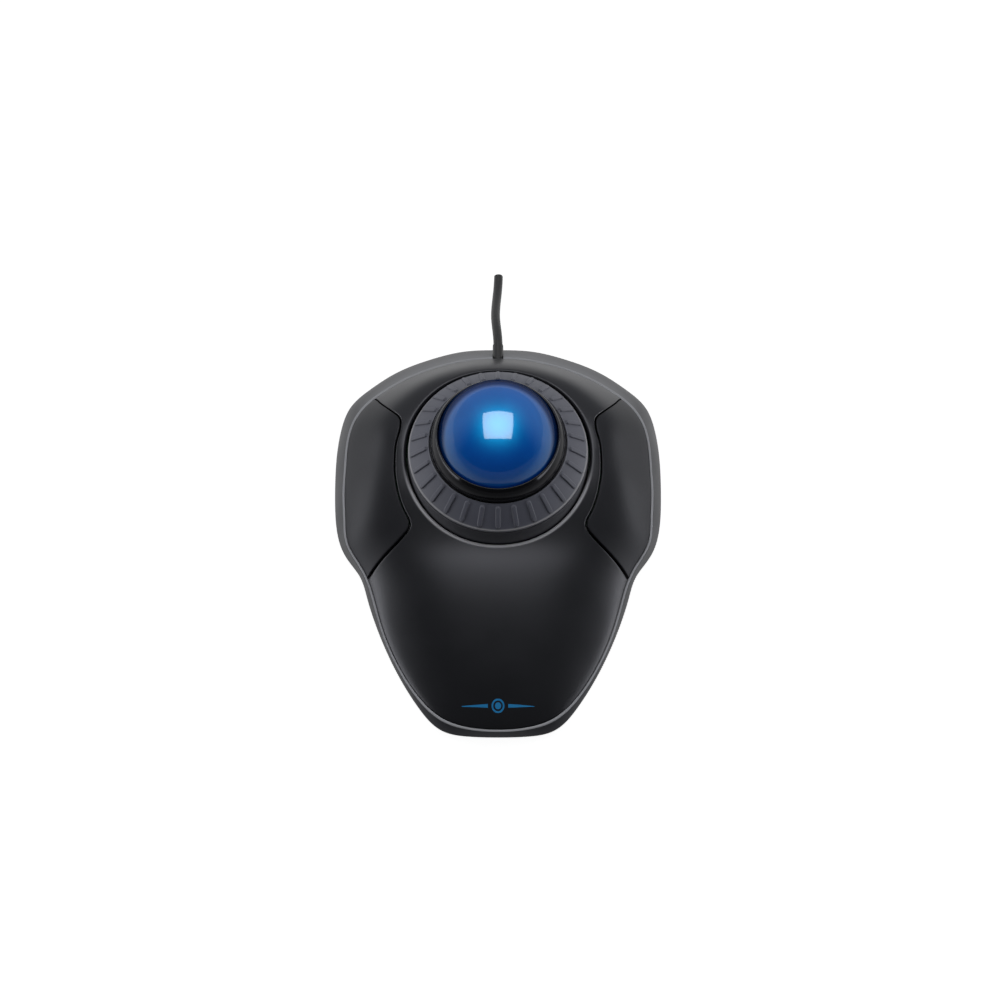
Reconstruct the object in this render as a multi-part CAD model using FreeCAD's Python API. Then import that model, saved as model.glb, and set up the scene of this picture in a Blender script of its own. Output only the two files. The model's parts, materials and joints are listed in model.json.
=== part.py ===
import FreeCAD, Part
import math
import os

# A desk trackball with a finger ring round the ball, two side buttons and a rear cable.
# Millimetres. The ball centre is on the Z axis; +X is right, +Y is the rear (cable) side,
# -Y is the front, and Z is the height above the desk. Left and right mirror about X = 0.

os.makedirs("parts", exist_ok=True)
Vec = FreeCAD.Vector
ORIGIN, X_DIR, Y_DIR, Z_DIR = Vec(0, 0, 0), Vec(1, 0, 0), Vec(0, 1, 0), Vec(0, 0, 1)

# ---------------------------------------------------------------- driving sizes
BALL_R, BALL_Z = 20.0, 38.0          # ball, and the height of its centre
BALL_CENTRE = Vec(0, 0, BALL_Z)
OPEN_R = 31.3                        # bore in the top shell
SHELL_T = 2.2                        # wall of the top shell
BASE_Z, FLOOR_Z = 1.2, 3.4           # underside and inside of the base floor
FLANK_Z = 2.5                        # top of the slanted foot of the base wall
LEDGE = 0.9                          # ledge of the base seen outside the shell
SEAT = 1.8                           # depth of the shell seat below the base rim
PLAN_Y = -17.0                       # centre of the polar plan curves
PCB_Z0, PCB_Z1 = 8.0, 9.6            # main board
HINGE_Y, HINGE_Z = 20.0, 12.8        # button hinge axis
PIN_R, PIN_HOLE_R = 1.25, 1.30       # button trunnion and its saddle
SWITCH_X, SWITCH_Y = 42.0, -12.0
PLUNGER_TOP = 16.9
CABLE_R, CABLE_Z = 1.7, 10.6         # cable, and its height at the rear wall
FOOT_R, FOOT_TOP = 6.0, 1.6          # rubber feet
PUSH_HOLE_R = 5.5                    # push-out hole under the ball

# plan radii about (0, PLAN_Y) at angles from +X: bottom of the base, edge of the shell
ANGLES = [-90, -82, -75, -68, -60, -50, -40, -30, -20, -10, 0,
          10, 20, 28, 35, 42, 50, 60, 70, 80, 90]
BASE_RADII = [73.9, 74.28, 73.8, 69.4, 63.9, 58.38, 54.42, 51.77, 51.02, 54.39, 56.8,
              58.87, 62.2, 66.05, 69.98, 73.45, 74.24, 74.64, 74.5, 74.65, 74.2]
SHELL_RADII = [72.08, 71.89, 70.6, 67.1, 62.22, 56.81, 52.33, 49.44, 49.52, 51.96, 52.49,
               54.02, 56.62, 60.0, 62.97, 64.42, 64.38, 64.02, 63.66, 63.56, 63.55]
# crown height along the centre line
CROWN_Y = [-100, -91, -85, -75, -60, -45, -38, -31.3, -20, -10, 0, 10, 20, 30, 40, 50, 62]
CROWN_Z = [3.6, 8.0, 10.3, 13.6, 18.1, 21.6, 22.8, 23.8, 26.8, 29.6, 31.6, 32.4, 32.1,
           31.1, 28.9, 25.5, 21.0]
# centre line of the gap round the right button, (x, y) from rear to front
GAP = [(46.6, 32.5), (44.0, 29.1), (41.7, 24.6), (39.6, 21.0), (37.2, 17.6), (35.7, 15.8),
       (34.7, 14.7), (34.0, 13.8), (33.5, 12.8), (33.25, 11.6), (33.25, 10.2), (33.5, 8.1),
       (34.1, 5.8), (34.6, 3.4), (34.85, 0.6), (34.9, -3.0), (34.8, -6.3), (34.3, -9.8),
       (33.6, -13.2), (32.6, -16.5), (31.4, -19.4), (30.2, -21.6), (29.5, -23.4),
       (29.7, -25.2), (31.0, -26.9), (33.4, -29.2), (36.3, -31.6), (38.9, -33.7),
       (41.2, -35.7), (43.5, -38.0), (46.5, -41.0)]

THIRDS = (90, 210, 330)              # azimuths of the cup posts and the support bearings
CUP_POSTS = [(26 * math.cos(math.radians(a)), 26 * math.sin(math.radians(a))) for a in THIRDS]
PCB_POSTS = [(29, -21), (-29, -21), (38, 7), (-38, 7)]
# case screws: x, y, joint height, top of the head recess, pilot depth, thread past the joint
CASE_POSTS = [(30, 32.5, 12.0, 5.2, 8, 7), (-30, 32.5, 12.0, 5.2, 8, 7),
              (23, -70, 6.6, 3.2, 3.2, 2.6), (-23, -70, 6.6, 3.2, 3.2, 2.6)]
FEET = [(40, 30), (-40, 30), (0, -80), (46, -8), (-46, -8)]

# cable clamp and the flange of the strain relief
CLAMP_SCREW_X, CLAMP_SCREW_Y = (-6.0, 6.0), 39.5
CLAMP_Z0, CLAMP_Z1 = 8.72, 10.4
CLAMP_Y0, CLAMP_Y1 = 37.0, 42.0
FLANGE_HALF_W, FLANGE_Y0, FLANGE_Y1 = 4.0, 44.5, 46.5
FLANGE_DOWN, FLANGE_UP = 3.0, 2.0    # reach below and above the cable axis
NOTCH_R = 2.0                        # cable passage through base and shell

# ball cup and what stacks on it
CUP_IN_R, CUP_OUT_R = BALL_R + 0.9, BALL_R + 2.9
BARREL_R = 22.0                      # outside of the upright wall of the cup
CUP_TOP, CUP_STEP_R, CUP_STEP_Z = 36.4, 21.4, 35.0
CUP_FLANGE_Z0, CUP_FLANGE_Z1 = 17.4, 19.0
RING_LEDGE_Z = 29.0                  # top of the ledge under the finger ring
COLLAR_TOP_R, COLLAR_FOOT_R = 30.4, 31.0
COLLAR_FLOOR_TOP = 20.5

# finger ring
RING_IN_R, RING_OUT_R = 22.9, 30.2
RING_IN_Z, RING_OUT_Z = 37.3, 31.4   # height at those radii
RING_SLOPE = (RING_IN_Z - RING_OUT_Z) / (RING_OUT_R - RING_IN_R)
RING_BULGE = 0.3
CORE_IN_R, CORE_TOP_R, CORE_TOP_Z, CORE_OUT_R = 22.08, 22.7, 35.9, 28.9
RIBS = 30
RIB_R0, RIB_R1, RIB_HALF_W, RIB_H = 23.75, 29.45, 0.8, 0.6
INTERRUPTER_AZIMUTH = 150.0

# support bearings and ball sensor, by direction from the ball centre
BEARING_R, BEARING_DIST = 1.5, 21.54
BEARING_DROP = math.radians(40)      # angle below the ball's equator
BEARING_DIRS = [Vec(math.cos(BEARING_DROP) * math.cos(math.radians(a)),
                    math.cos(BEARING_DROP) * math.sin(math.radians(a)),
                    -math.sin(BEARING_DROP)) for a in THIRDS]
SENSOR_DIR = Vec(0, -0.5, -math.sqrt(.75))
SENSOR_UP = Vec(0, -math.sqrt(.75), 0.5)     # across the sensor board, upward
SENSOR_SCREW_X = (6.5, -6.5)


# ---------------------------------------------------------------- curves and heights
def clamped_spline(xs, ys):
    """cubic spline through the points with level ends, as a function held at its ends"""
    n = len(xs)
    gap = [xs[i + 1] - xs[i] for i in range(n - 1)]
    lower, diag, upper, rhs = [0.0] * n, [0.0] * n, [0.0] * n, [0.0] * n
    diag[0], upper[0], rhs[0] = 2 * gap[0], gap[0], 6 * (ys[1] - ys[0]) / gap[0]
    for i in range(1, n - 1):
        lower[i], diag[i], upper[i] = gap[i - 1], 2 * (gap[i - 1] + gap[i]), gap[i]
        rhs[i] = 6 * ((ys[i + 1] - ys[i]) / gap[i] - (ys[i] - ys[i - 1]) / gap[i - 1])
    lower[-1], diag[-1], rhs[-1] = gap[-1], 2 * gap[-1], -6 * (ys[-1] - ys[-2]) / gap[-1]
    for i in range(1, n):
        factor = lower[i] / diag[i - 1]
        diag[i] -= factor * upper[i - 1]
        rhs[i] -= factor * rhs[i - 1]
    second = [0.0] * n                       # second derivatives at the points
    second[-1] = rhs[-1] / diag[-1]
    for i in range(n - 2, -1, -1):
        second[i] = (rhs[i] - upper[i] * second[i + 1]) / diag[i]

    def value(x):
        x = min(max(x, xs[0]), xs[-1])
        i = 0
        while i < n - 2 and xs[i + 1] < x:
            i += 1
        h = gap[i]
        p, q = (xs[i + 1] - x) / h, (x - xs[i]) / h
        bend = (p ** 3 - p) * second[i] + (q ** 3 - q) * second[i + 1]
        return p * ys[i] + q * ys[i + 1] + bend * h * h / 6

    return value


base_r = clamped_spline(ANGLES, BASE_RADII)
shell_r = clamped_spline(ANGLES, SHELL_RADII)
crown_z = clamped_spline(CROWN_Y, CROWN_Z)


def smooth(t):
    """smooth step from 0 to 1"""
    t = min(max(t, 0.0), 1.0)
    return t * t * (3 - 2 * t)


def radius_slope(radius_at, angle):
    rise = radius_at(min(angle + .5, 90)) - radius_at(max(angle - .5, -90))
    return rise / math.radians(1.0)


def slant(radius_at, angle):
    """radial length of a unit step square to the plan curve"""
    r = radius_at(angle)
    return math.hypot(r, radius_slope(radius_at, angle)) / r


def shell_offset(k):
    """shell edge moved outwards by k"""
    return lambda angle: shell_r(angle) + k * slant(shell_r, angle)


def rim_z(y):
    """height of the base rim"""
    return 6 + 6.5 * smooth((y + 89) / 85.0) + 0.7 * min(max(y / 50.0, 0), 1)


def seat_z(y):
    return rim_z(y) - SEAT


def edge_y(angle):
    return PLAN_Y + shell_r(angle) * math.sin(math.radians(angle))


def top_z(x, y):
    """top surface: a sloping side blended smoothly into the crown"""
    across = abs(x)
    r = math.hypot(across, y - PLAN_Y)
    angle = math.degrees(math.atan2(y - PLAN_Y, across)) if r > 1e-6 else -90.0
    edge_r = shell_r(angle)
    inward = (edge_r - r) * edge_r / math.hypot(edge_r, radius_slope(shell_r, angle))
    ey = edge_y(angle)
    steepness = 0.80 + 0.25 * smooth((ey + 70) / 60) + 0.25 * smooth((ey - 25) / 20)
    shoulder = 0.5 * (1 - math.exp(-max(inward, -1.5) / 1.2))
    side = rim_z(ey) + 0.5 + steepness * inward + shoulder
    crown = crown_z(y) - (0.0038 - 0.0016 * smooth((y + 60) / 50)) * x * x
    blend, low = 2.4, min(side, crown)
    return low - blend * math.log(math.exp(-(side - low) / blend)
                                  + math.exp(-(crown - low) / blend))


def wall_radius(angle, z, inset):
    """plan radius of the base wall at height z: outer face at inset 0, inner face at 1"""
    foot = base_r(angle)
    head = shell_offset(LEDGE)(angle)
    height = rim_z(edge_y(angle)) - FLANK_Z
    t = (z - FLANK_Z) / height
    share = 1 + 1.25 * (t - 1) if t > 1 else 0.75 * t + 0.25 * t * t
    thickness = 3.0 + 1.8 * (foot - head) / height
    return foot + (head - foot) * share - inset * thickness * slant(base_r, angle)


# ---------------------------------------------------------------- shape helpers
def plan_wire(radius_at, z, n=96):
    """closed plan curve from the rear round by the right, mirrored on the left"""
    points = []
    for i in range(n):
        turn = 90.0 - 360.0 * i / n
        angle = turn if turn >= -90 else -180 - turn
        r = radius_at(angle)
        x = r * math.cos(math.radians(angle)) * (1 if turn > -90 else -1)
        y = PLAN_Y + r * math.sin(math.radians(angle))
        points.append(Vec(x if abs(x) > 1e-9 else 0.0, y, z))
    curve = Part.BSplineCurve()
    curve.interpolate(points, PeriodicFlag=True)
    return Part.Wire([curve.toShape()])


def prism(radius_at, z0, z1):
    return Part.Face(plan_wire(radius_at, z0)).extrude(Vec(0, 0, z1 - z0))


def wall_wire(z, inset=0.0):
    return plan_wire(lambda angle: wall_radius(angle, z, inset), z)


def under_top(depth):
    """solid below the top surface, which is lowered by depth along its normal"""
    grid = []
    for i in range(33):
        x = -64 + 4 * i
        row = []
        for j in range(41):
            y = -98 + 4 * j
            slope_x = (top_z(x + .3, y) - top_z(x - .3, y)) / .6
            slope_y = (top_z(x, y + .3) - top_z(x, y - .3)) / .6
            z = top_z(x, y) - depth * math.sqrt(1 + slope_x * slope_x + slope_y * slope_y)
            row.append(Vec(x, y, max(z, -30)))
        grid.append(row)
    surface = Part.BSplineSurface()
    surface.interpolate(grid)
    return surface.toShape().extrude(Vec(0, 0, -80))


def below(height_at):
    """solid under a height profile along y, constant across x"""
    z0, x0 = -10, -70
    points = [Vec(x0, -100 + 2.5 * i, height_at(-100 + 2.5 * i)) for i in range(69)]
    first, last = points[0], points[-1]
    curve = Part.BSplineCurve()
    curve.interpolate(points)
    foot0, foot1 = Vec(x0, first.y, z0), Vec(x0, last.y, z0)
    face = Part.Face(Part.Wire([Part.makeLine(foot0, first), curve.toShape(),
                                Part.makeLine(last, foot1), Part.makeLine(foot1, foot0)]))
    return face.extrude(Vec(-2 * x0, 0, 0))


def box(x0, x1, y0, y1, z0, z1):
    return Part.makeBox(x1 - x0, y1 - y0, z1 - z0, Vec(x0, y0, z0))


def side_box(side, x0, x1, *limits):
    """box on the right (side 1) or the left (side -1)"""
    return box(*sorted((side * x0, side * x1)), *limits)


def cyl(r, x, y, z0, z1):
    return Part.makeCylinder(r, z1 - z0, Vec(x, y, z0))


def cyl_x(r, x0, x1, y, z):
    return Part.makeCylinder(r, x1 - x0, Vec(x0, y, z), X_DIR)


def cable_cyl(r, y0, y1):
    """cylinder on the straight part of the cable axis"""
    return Part.makeCylinder(r, y1 - y0, Vec(0, y0, CABLE_Z), Y_DIR)


def revolve(profile):
    """solid of revolution from (r, z) points; a pair of points is an arc (through, end)"""
    first = Vec(profile[0][0], 0, profile[0][1])
    edges, here = [], first
    for item in profile[1:]:
        if isinstance(item[0], tuple):
            through, end = [Vec(r, 0, z) for r, z in item]
            edges.append(Part.Arc(here, through, end).toShape())
        else:
            end = Vec(item[0], 0, item[1])
            edges.append(Part.makeLine(here, end))
        here = end
    edges.append(Part.makeLine(here, first))
    return Part.Face(Part.Wire(edges)).revolve(ORIGIN, Z_DIR, 360)


def mirror(shape):
    return shape.mirror(ORIGIN, X_DIR)


def turned(shape, azimuth):
    copy = shape.copy()
    copy.rotate(ORIGIN, Z_DIR, azimuth)
    return copy


def cut_each(shape, tools):
    for tool in tools:
        shape = shape.cut(tool)
    return shape


def save(name, shape):
    """export the largest solid; returns it"""
    solid = max(shape.removeSplitter().Solids, key=lambda s: s.Volume)
    solid.exportStep("parts/%s.step" % name)
    return solid


def save_group(name, shapes):
    Part.makeCompound(shapes).exportStep("parts/%s.step" % name)


# ---------------------------------------------------------------- base shell
def base_body():
    lower = Part.makeLoft([plan_wire(lambda a: wall_radius(a, FLANK_Z, 0.0) - 1.2, BASE_Z),
                           wall_wire(FLANK_Z)], True, True)
    upper = Part.makeLoft([wall_wire(z) for z in (FLANK_Z, 5.5, 8.5, 11.5, 14.5)], True, False)
    outer = lower.fuse(upper).common(below(rim_z))
    cavity = Part.makeLoft([wall_wire(z, 1.0) for z in (FLOOR_Z, 6.5, 9.5, 12.5, 15.5)],
                           True, False)
    shelf = prism(shell_offset(-2.1), 0, 40)
    pocket = prism(shell_offset(0.12), 0, 40).cut(below(seat_z))
    return outer.cut(cavity.common(shelf)).cut(pocket)


def base_posts():
    root_z = FLOOR_Z - .5
    add = [cyl(3.4, x, y, root_z, CUP_FLANGE_Z0 - .05) for x, y in CUP_POSTS]
    add += [cyl(3.0, x, y, root_z, PCB_Z0 - .02) for x, y in PCB_POSTS]
    add += [cyl(3.6, x, y, root_z, joint - .05) for x, y, joint, *_ in CASE_POSTS]
    # hinge saddles, either side of each button's tab
    for side in (1, -1):
        for x0, x1 in ((36.4, 38.6), (44.2, 45.9)):
            add.append(side_box(side, x0, x1, HINGE_Y - 2.4, HINGE_Y + 2.4, root_z, 14.2))
    # blocks under the cable clamp, and the bridge between them
    add.append(box(-8.5, -3.6, 36.5, 42.5, root_z, 8.7))
    add.append(box(3.6, 8.5, 36.5, 42.5, root_z, 8.7))
    add.append(box(-3.8, 3.8, 38.0, 41.0, root_z, 8.7))
    return add


def base_cuts():
    cut = [cyl(1.12, x, y, 8.0, 20) for x, y in CUP_POSTS]
    cut += [cyl(0.92, x, y, 4.4, 10) for x, y in PCB_POSTS]
    for x, y, _, recess_top, *_ in CASE_POSTS:
        cut.append(cyl(1.4, x, y, 0, 20))
        cut.append(cyl(2.9, x, y, 0, recess_top))
    # pin holes, open upwards
    for side in (1, -1):
        cut.append(cyl_x(PIN_HOLE_R, min(side * 36, side * 47), max(side * 36, side * 47),
                         HINGE_Y, HINGE_Z))
        cut.append(side_box(side, 36, 47, HINGE_Y - 1.1, HINGE_Y + 1.1, HINGE_Z, 16))
    cut += [cyl(0.92, x, CLAMP_SCREW_Y, 4.6, 10) for x in CLAMP_SCREW_X]
    cut += [cyl(FOOT_R + .1, x, y, 0, FOOT_TOP) for x, y in FEET]
    cut.append(cyl(PUSH_HOLE_R, 0, 0, 0, 5))
    cut.append(box(-26.1, 26.1, -52.1, -27.9, 0, 1.5))      # label recess
    cut.append(cable_cyl(NOTCH_R, 42, 62).fuse(box(-NOTCH_R, NOTCH_R, 42, 62, CABLE_Z, 20)))
    # seat for the strain relief flange
    cut.append(box(-FLANGE_HALF_W - .1, FLANGE_HALF_W + .1, FLANGE_Y0 - .1, FLANGE_Y1 + .05,
                   CABLE_Z - FLANGE_DOWN - .1, 20))
    return cut


base_tools = base_cuts()
base = base_body().multiFuse(base_posts())
save("base_shell", base.cut(base_tools[0]).cut(base_tools[1].multiFuse(base_tools[2:])))
save_group("rubber_feet", [cyl(FOOT_R, x, y, 0, FOOT_TOP) for x, y in FEET])
save("base_label", box(-26, 26, -52, -28, 1.25, 1.5))

# ---------------------------------------------------------------- top shell and buttons
under_mid_wall = under_top(1.1)      # trims posts inside the thickness of the wall
full = prism(shell_r, 0, 60).common(under_top(0.0))
hollow = prism(shell_offset(-SHELL_T), -5, 60).common(under_top(SHELL_T))
skin = full.cut(hollow)


def button_region(offset):
    """prism over the right button, its inner edge moved towards the middle by offset"""
    n = len(GAP)
    points = []
    for i, (x, y) in enumerate(GAP):
        before, after = GAP[max(i - 1, 0)], GAP[min(i + 1, n - 1)]
        dx, dy = after[0] - before[0], after[1] - before[1]
        length = math.hypot(dx, dy)
        k = offset * (1.0 + 0.6 * smooth((-20 - y) / 8))    # the gap widens at the front
        points.append(Vec(x + k * dy / length, y - k * dx / length, 0))
    curve = Part.BSplineCurve()
    curve.interpolate(points)
    rear, front = points[0], points[-1]
    far_rear, far_front = Vec(70, rear.y, 0), Vec(70, front.y, 0)
    wire = Part.Wire([curve.toShape(), Part.makeLine(front, far_front),
                      Part.makeLine(far_front, far_rear), Part.makeLine(far_rear, rear)])
    return Part.Face(wire).extrude(Vec(0, 0, 60))


def on_bore(point):
    return abs(math.hypot(point.x, point.y) - OPEN_R) < .05


def on_top(point):
    return abs(top_z(point.x, point.y) - point.z) < .3


def is_lip(edge):
    """true for an edge where the bore meets the top surface"""
    start, span = edge.FirstParameter, edge.LastParameter - edge.FirstParameter
    return (all(on_bore(v.Point) for v in edge.Vertexes)
            and edge.CenterOfMass.z > 21 and edge.Length > 3
            and on_top(edge.Vertexes[0].Point)
            and all(on_bore(edge.valueAt(start + span * t)) for t in (.3, .6)))


def top_shell():
    opening = button_region(0.26)
    top = skin.cut(below(lambda y: seat_z(y) + 0.02))
    top = top.cut(cyl(OPEN_R, 0, 0, 0, 60)).cut(opening).cut(mirror(opening))
    # the lip stays sharp if the kernel can't round it on the freeform surface
    try:
        rounded = top.makeFillet(0.9, [e for e in top.Edges if is_lip(e)])
        if rounded.isValid() and rounded.Volume > 0.9 * top.Volume:
            top = rounded
    except Exception:
        pass
    top = top.multiFuse([cyl(3.0, x, y, joint, 40).common(under_mid_wall)
                         for x, y, joint, *_ in CASE_POSTS])
    top = cut_each(top, [cyl(1.02, x, y, joint - 1, joint + pilot)
                         for x, y, joint, _, pilot, _ in CASE_POSTS])
    # clearance over the cable and its strain relief
    top = top.cut(cable_cyl(NOTCH_R, 40, 54).fuse(
        box(-NOTCH_R, NOTCH_R, 40, 54, 5, CABLE_Z)))
    return top.cut(box(-FLANGE_HALF_W - .1, FLANGE_HALF_W + .1, FLANGE_Y0 - .1, FLANGE_Y1 + .1,
                       CABLE_Z - FLANGE_DOWN - .1, CABLE_Z + FLANGE_UP + .08))


def right_button():
    region = button_region(-0.26)
    tab_x0, tab_x1 = 40.2, 42.8
    tab = box(tab_x0, tab_x1, HINGE_Y - 2.2, HINGE_Y + 2.2, HINGE_Z - 1.6, 40)
    tab_limit = region.fuse(box(tab_x0, tab_x1, 15, 25, 0, 15))
    button = skin.cut(below(lambda y: seat_z(y) + 1.25)).common(region)
    return button.multiFuse([
        cyl_x(PIN_R, 36.2, 46.0, HINGE_Y, HINGE_Z),
        tab.common(under_mid_wall).common(tab_limit),
        cyl(1.6, SWITCH_X, SWITCH_Y, PLUNGER_TOP + .05, 40).common(under_mid_wall)])


save("top_shell", top_shell())
save("left_button", mirror(save("right_button", right_button())))


# ---------------------------------------------------------------- ball and its housing
def sphere_z(sphere_r, r):
    """height at radius r on the lower half of a sphere about the ball centre"""
    return BALL_Z - math.sqrt(sphere_r * sphere_r - r * r)


def sphere_point(sphere_r, z):
    """(r, z) point at height z on a sphere about the ball centre"""
    return math.sqrt(sphere_r * sphere_r - (z - BALL_Z) ** 2), z


def flange_openings():
    """screw holes and the slot for the photo interrupter"""
    return ([cyl(1.35, x, y, 16, 21) for x, y in CUP_POSTS]
            + [turned(box(23.9, 28.9, -3.2, 3.2, 17, 21), INTERRUPTER_AZIMUTH)])


def ball_cup():
    ledge_r, ledge_z0, skirt_r = 24.6, 27.8, 20.4
    cup = revolve([
        (PUSH_HOLE_R, sphere_z(CUP_IN_R, PUSH_HOLE_R)),
        (sphere_point(CUP_IN_R, 26), sphere_point(CUP_IN_R, CUP_TOP)),
        (CUP_STEP_R, CUP_TOP), (CUP_STEP_R, CUP_STEP_Z), (BARREL_R, CUP_STEP_Z),
        (BARREL_R, RING_LEDGE_Z), (ledge_r, RING_LEDGE_Z), (ledge_r, ledge_z0),
        (BARREL_R, ledge_z0), (BARREL_R, CUP_FLANGE_Z1), (30.0, CUP_FLANGE_Z1),
        (30.0, CUP_FLANGE_Z0), (skirt_r, CUP_FLANGE_Z0), (skirt_r, sphere_z(CUP_OUT_R, skirt_r)),
        (sphere_point(CUP_OUT_R, 20), (PUSH_HOLE_R, sphere_z(CUP_OUT_R, PUSH_HOLE_R)))])
    # bearing bosses, then sensor screw bosses
    add = [Part.makeCylinder(2.7, 3.3, BALL_CENTRE + b * 21.4, b) for b in BEARING_DIRS]
    add += [Part.makeCylinder(1.8, 4.9, BALL_CENTRE + SENSOR_DIR * 21.1 + Vec(x, 0, 0),
                              SENSOR_DIR) for x in SENSOR_SCREW_X]
    cut = [Part.makeSphere(BEARING_R + .02, BALL_CENTRE + b * BEARING_DIST)
           for b in BEARING_DIRS]
    cut.append(Part.makeCylinder(4.0, 6, BALL_CENTRE + SENSOR_DIR * 18.5, SENSOR_DIR))
    cut += [Part.makeCylinder(0.82, 3.9, BALL_CENTRE + SENSOR_DIR * 22.6 + Vec(x, 0, 0),
                              SENSOR_DIR) for x in SENSOR_SCREW_X]
    return cut_each(cup.multiFuse(add), cut + flange_openings())


def ball_bezel():
    inner_r = BALL_R + .25
    seat, foot = CUP_TOP + .02, CUP_STEP_Z + .03
    return revolve([sphere_point(inner_r, seat),
                    (sphere_point(inner_r, 39.5), sphere_point(inner_r, 42.3)),
                    ((20.02, 42.62), (20.35, 42.6)), ((21.75, 40.4), (22.5, 37.3)),
                    (22.5, seat), (BARREL_R, seat), (BARREL_R, foot),
                    (CUP_STEP_R + .02, foot), (CUP_STEP_R + .02, seat)])


def ring_collar():
    inner_r, foot = BARREL_R + .06, CUP_FLANGE_Z1 + .03
    collar = revolve([(inner_r, foot), (30.98, foot), (COLLAR_FOOT_R, 22.8),
                      (COLLAR_TOP_R, 30.0), (30.2, 30.2), (29.0, 30.2),
                      (29.0, COLLAR_FLOOR_TOP), (inner_r, COLLAR_FLOOR_TOP)])
    return cut_each(collar, flange_openings())


save("ball", Part.makeSphere(BALL_R, BALL_CENTRE))
save("ball_cup", ball_cup())
save_group("support_bearings", [Part.makeSphere(BEARING_R, BALL_CENTRE + b * BEARING_DIST)
                                for b in BEARING_DIRS])
save("ball_bezel", ball_bezel())
save("ring_collar", ring_collar())


# ---------------------------------------------------------------- finger ring
def core_z(r):
    """height of the conical top of the core"""
    return CORE_TOP_Z - (r - CORE_TOP_R) * RING_SLOPE


def ring_top(r):
    """height of the slightly convex ring surface"""
    t = (r - RING_IN_R) / (RING_OUT_R - RING_IN_R)
    return RING_IN_Z + (RING_OUT_Z - RING_IN_Z) * t + RING_BULGE * 4 * t * (1 - t)


def ring_core():
    """cone with a slotted skirt that runs through the photo interrupter"""
    plate, foot = 2.3, 29.55
    skirt_r0, skirt_r1, skirt_z = 26.0, 26.8, 23.6
    core = revolve([(CORE_IN_R, foot), (24.0, foot), (24.0, core_z(24.0) - plate),
                    (skirt_r0, core_z(skirt_r0) - plate), (skirt_r0, skirt_z),
                    (skirt_r1, skirt_z), (skirt_r1, core_z(skirt_r1) - plate),
                    (28.2, 30.32), (CORE_OUT_R, 30.32), (CORE_OUT_R, core_z(CORE_OUT_R)),
                    (CORE_TOP_R, CORE_TOP_Z), (CORE_IN_R, CORE_TOP_Z)])
    # each bar cuts two opposite slots
    bars = Part.makeCompound([turned(box(-40, 40, -1.15, 1.15, 24.4, 27.4), i * 10)
                              for i in range(18)])
    return core.cut(bars.common(revolve([(25, 23), (28, 23), (28, 28), (25, 28)])))


def ring_rib():
    """round-ended rib on the +X side, square to the ring surface"""
    middle = (RIB_R0 + RIB_R1) / 2
    centre = Vec(middle, 0, ring_top(middle))
    normal = Vec(RING_SLOPE, 0, 1).normalize()
    along = Vec(1, 0, -RING_SLOPE).normalize()
    half = (RIB_R1 - RIB_R0) / 2 * math.hypot(1, RING_SLOPE) - RIB_HALF_W
    bar = Part.makeBox(2 * half, 2 * RIB_HALF_W, 4, Vec(-half, -RIB_HALF_W, -3))
    bar = bar.multiFuse([Part.makeCylinder(RIB_HALF_W, 4, Vec(-half, 0, -3)),
                         Part.makeCylinder(RIB_HALF_W, 4, Vec(half, 0, -3))]).removeSplitter()
    bar.Placement = FreeCAD.Placement(centre, FreeCAD.Rotation(along, Y_DIR, normal, "ZXY"))
    # trim it to a band that follows the ring surface
    radii = (RIB_R0 - 1, middle, RIB_R1 + 1)
    upper = [Vec(r, -2, ring_top(r) + RIB_H) for r in radii]
    lower = [Vec(r, -2, ring_top(r) - .5) for r in radii[::-1]]
    outline = Part.Wire([Part.Arc(*upper).toShape(), Part.makeLine(upper[2], lower[0]),
                         Part.Arc(*lower).toShape(), Part.makeLine(lower[2], upper[0])])
    rib = bar.common(Part.Face(outline).extrude(Vec(0, 4, 0)))
    # the rib keeps sharp top edges if the kernel can't round them
    try:
        edges = [e for e in rib.Edges if e.CenterOfMass.sub(centre).dot(normal) > 0.15]
        rounded = rib.makeFillet(0.25, edges)
        if rounded.isValid():
            rib = rounded
    except Exception:
        pass
    return rib


def ring_grip():
    middle, hem_r, hem_z = (RING_IN_R + RING_OUT_R) / 2, CORE_OUT_R + .05, 30.5
    grip = revolve([(RING_IN_R, RING_IN_Z - .25),
                    ((RING_IN_R + .06, RING_IN_Z - .05), (RING_IN_R + .25, RING_IN_Z)),
                    ((middle, ring_top(middle)), (RING_OUT_R, RING_OUT_Z)),
                    (RING_OUT_R, hem_z), (hem_r, hem_z), (hem_r, core_z(hem_r) + .03),
                    (RING_IN_R, core_z(RING_IN_R) + .03)])
    rib = ring_rib()
    return grip.multiFuse([turned(rib, 360.0 / RIBS * (i + .5)) for i in range(RIBS)])


save("scroll_ring_core", ring_core())
save("scroll_ring_grip", ring_grip())
save("ring_glide_washer", revolve([(22.2, RING_LEDGE_Z + .02), (24.4, RING_LEDGE_Z + .02),
                                   (24.4, 29.5), (22.2, 29.5)]))


# ---------------------------------------------------------------- main board
def main_pcb():
    outline = [(-47, -26), (47, -26), (47, 12), (34, 12), (34, 29), (-34, 29), (-34, 12),
               (-47, 12), (-47, -26)]
    board = Part.Face(Part.makePolygon([Vec(x, y, PCB_Z0) for x, y in outline]))
    holes = [cyl(3.9, x, y, 0, 20) for x, y in CUP_POSTS]
    holes += [cyl(1.2, x, y, 0, 20) for x, y in PCB_POSTS]
    holes.append(cyl(7.0, 0, 0, 0, 20))
    holes += [cyl(4.3, x, y, 0, 20) for x, y, *_ in CASE_POSTS if y > 0]
    return cut_each(board.extrude(Vec(0, 0, PCB_Z1 - PCB_Z0)), holes)


save("main_pcb", main_pcb())


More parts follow.
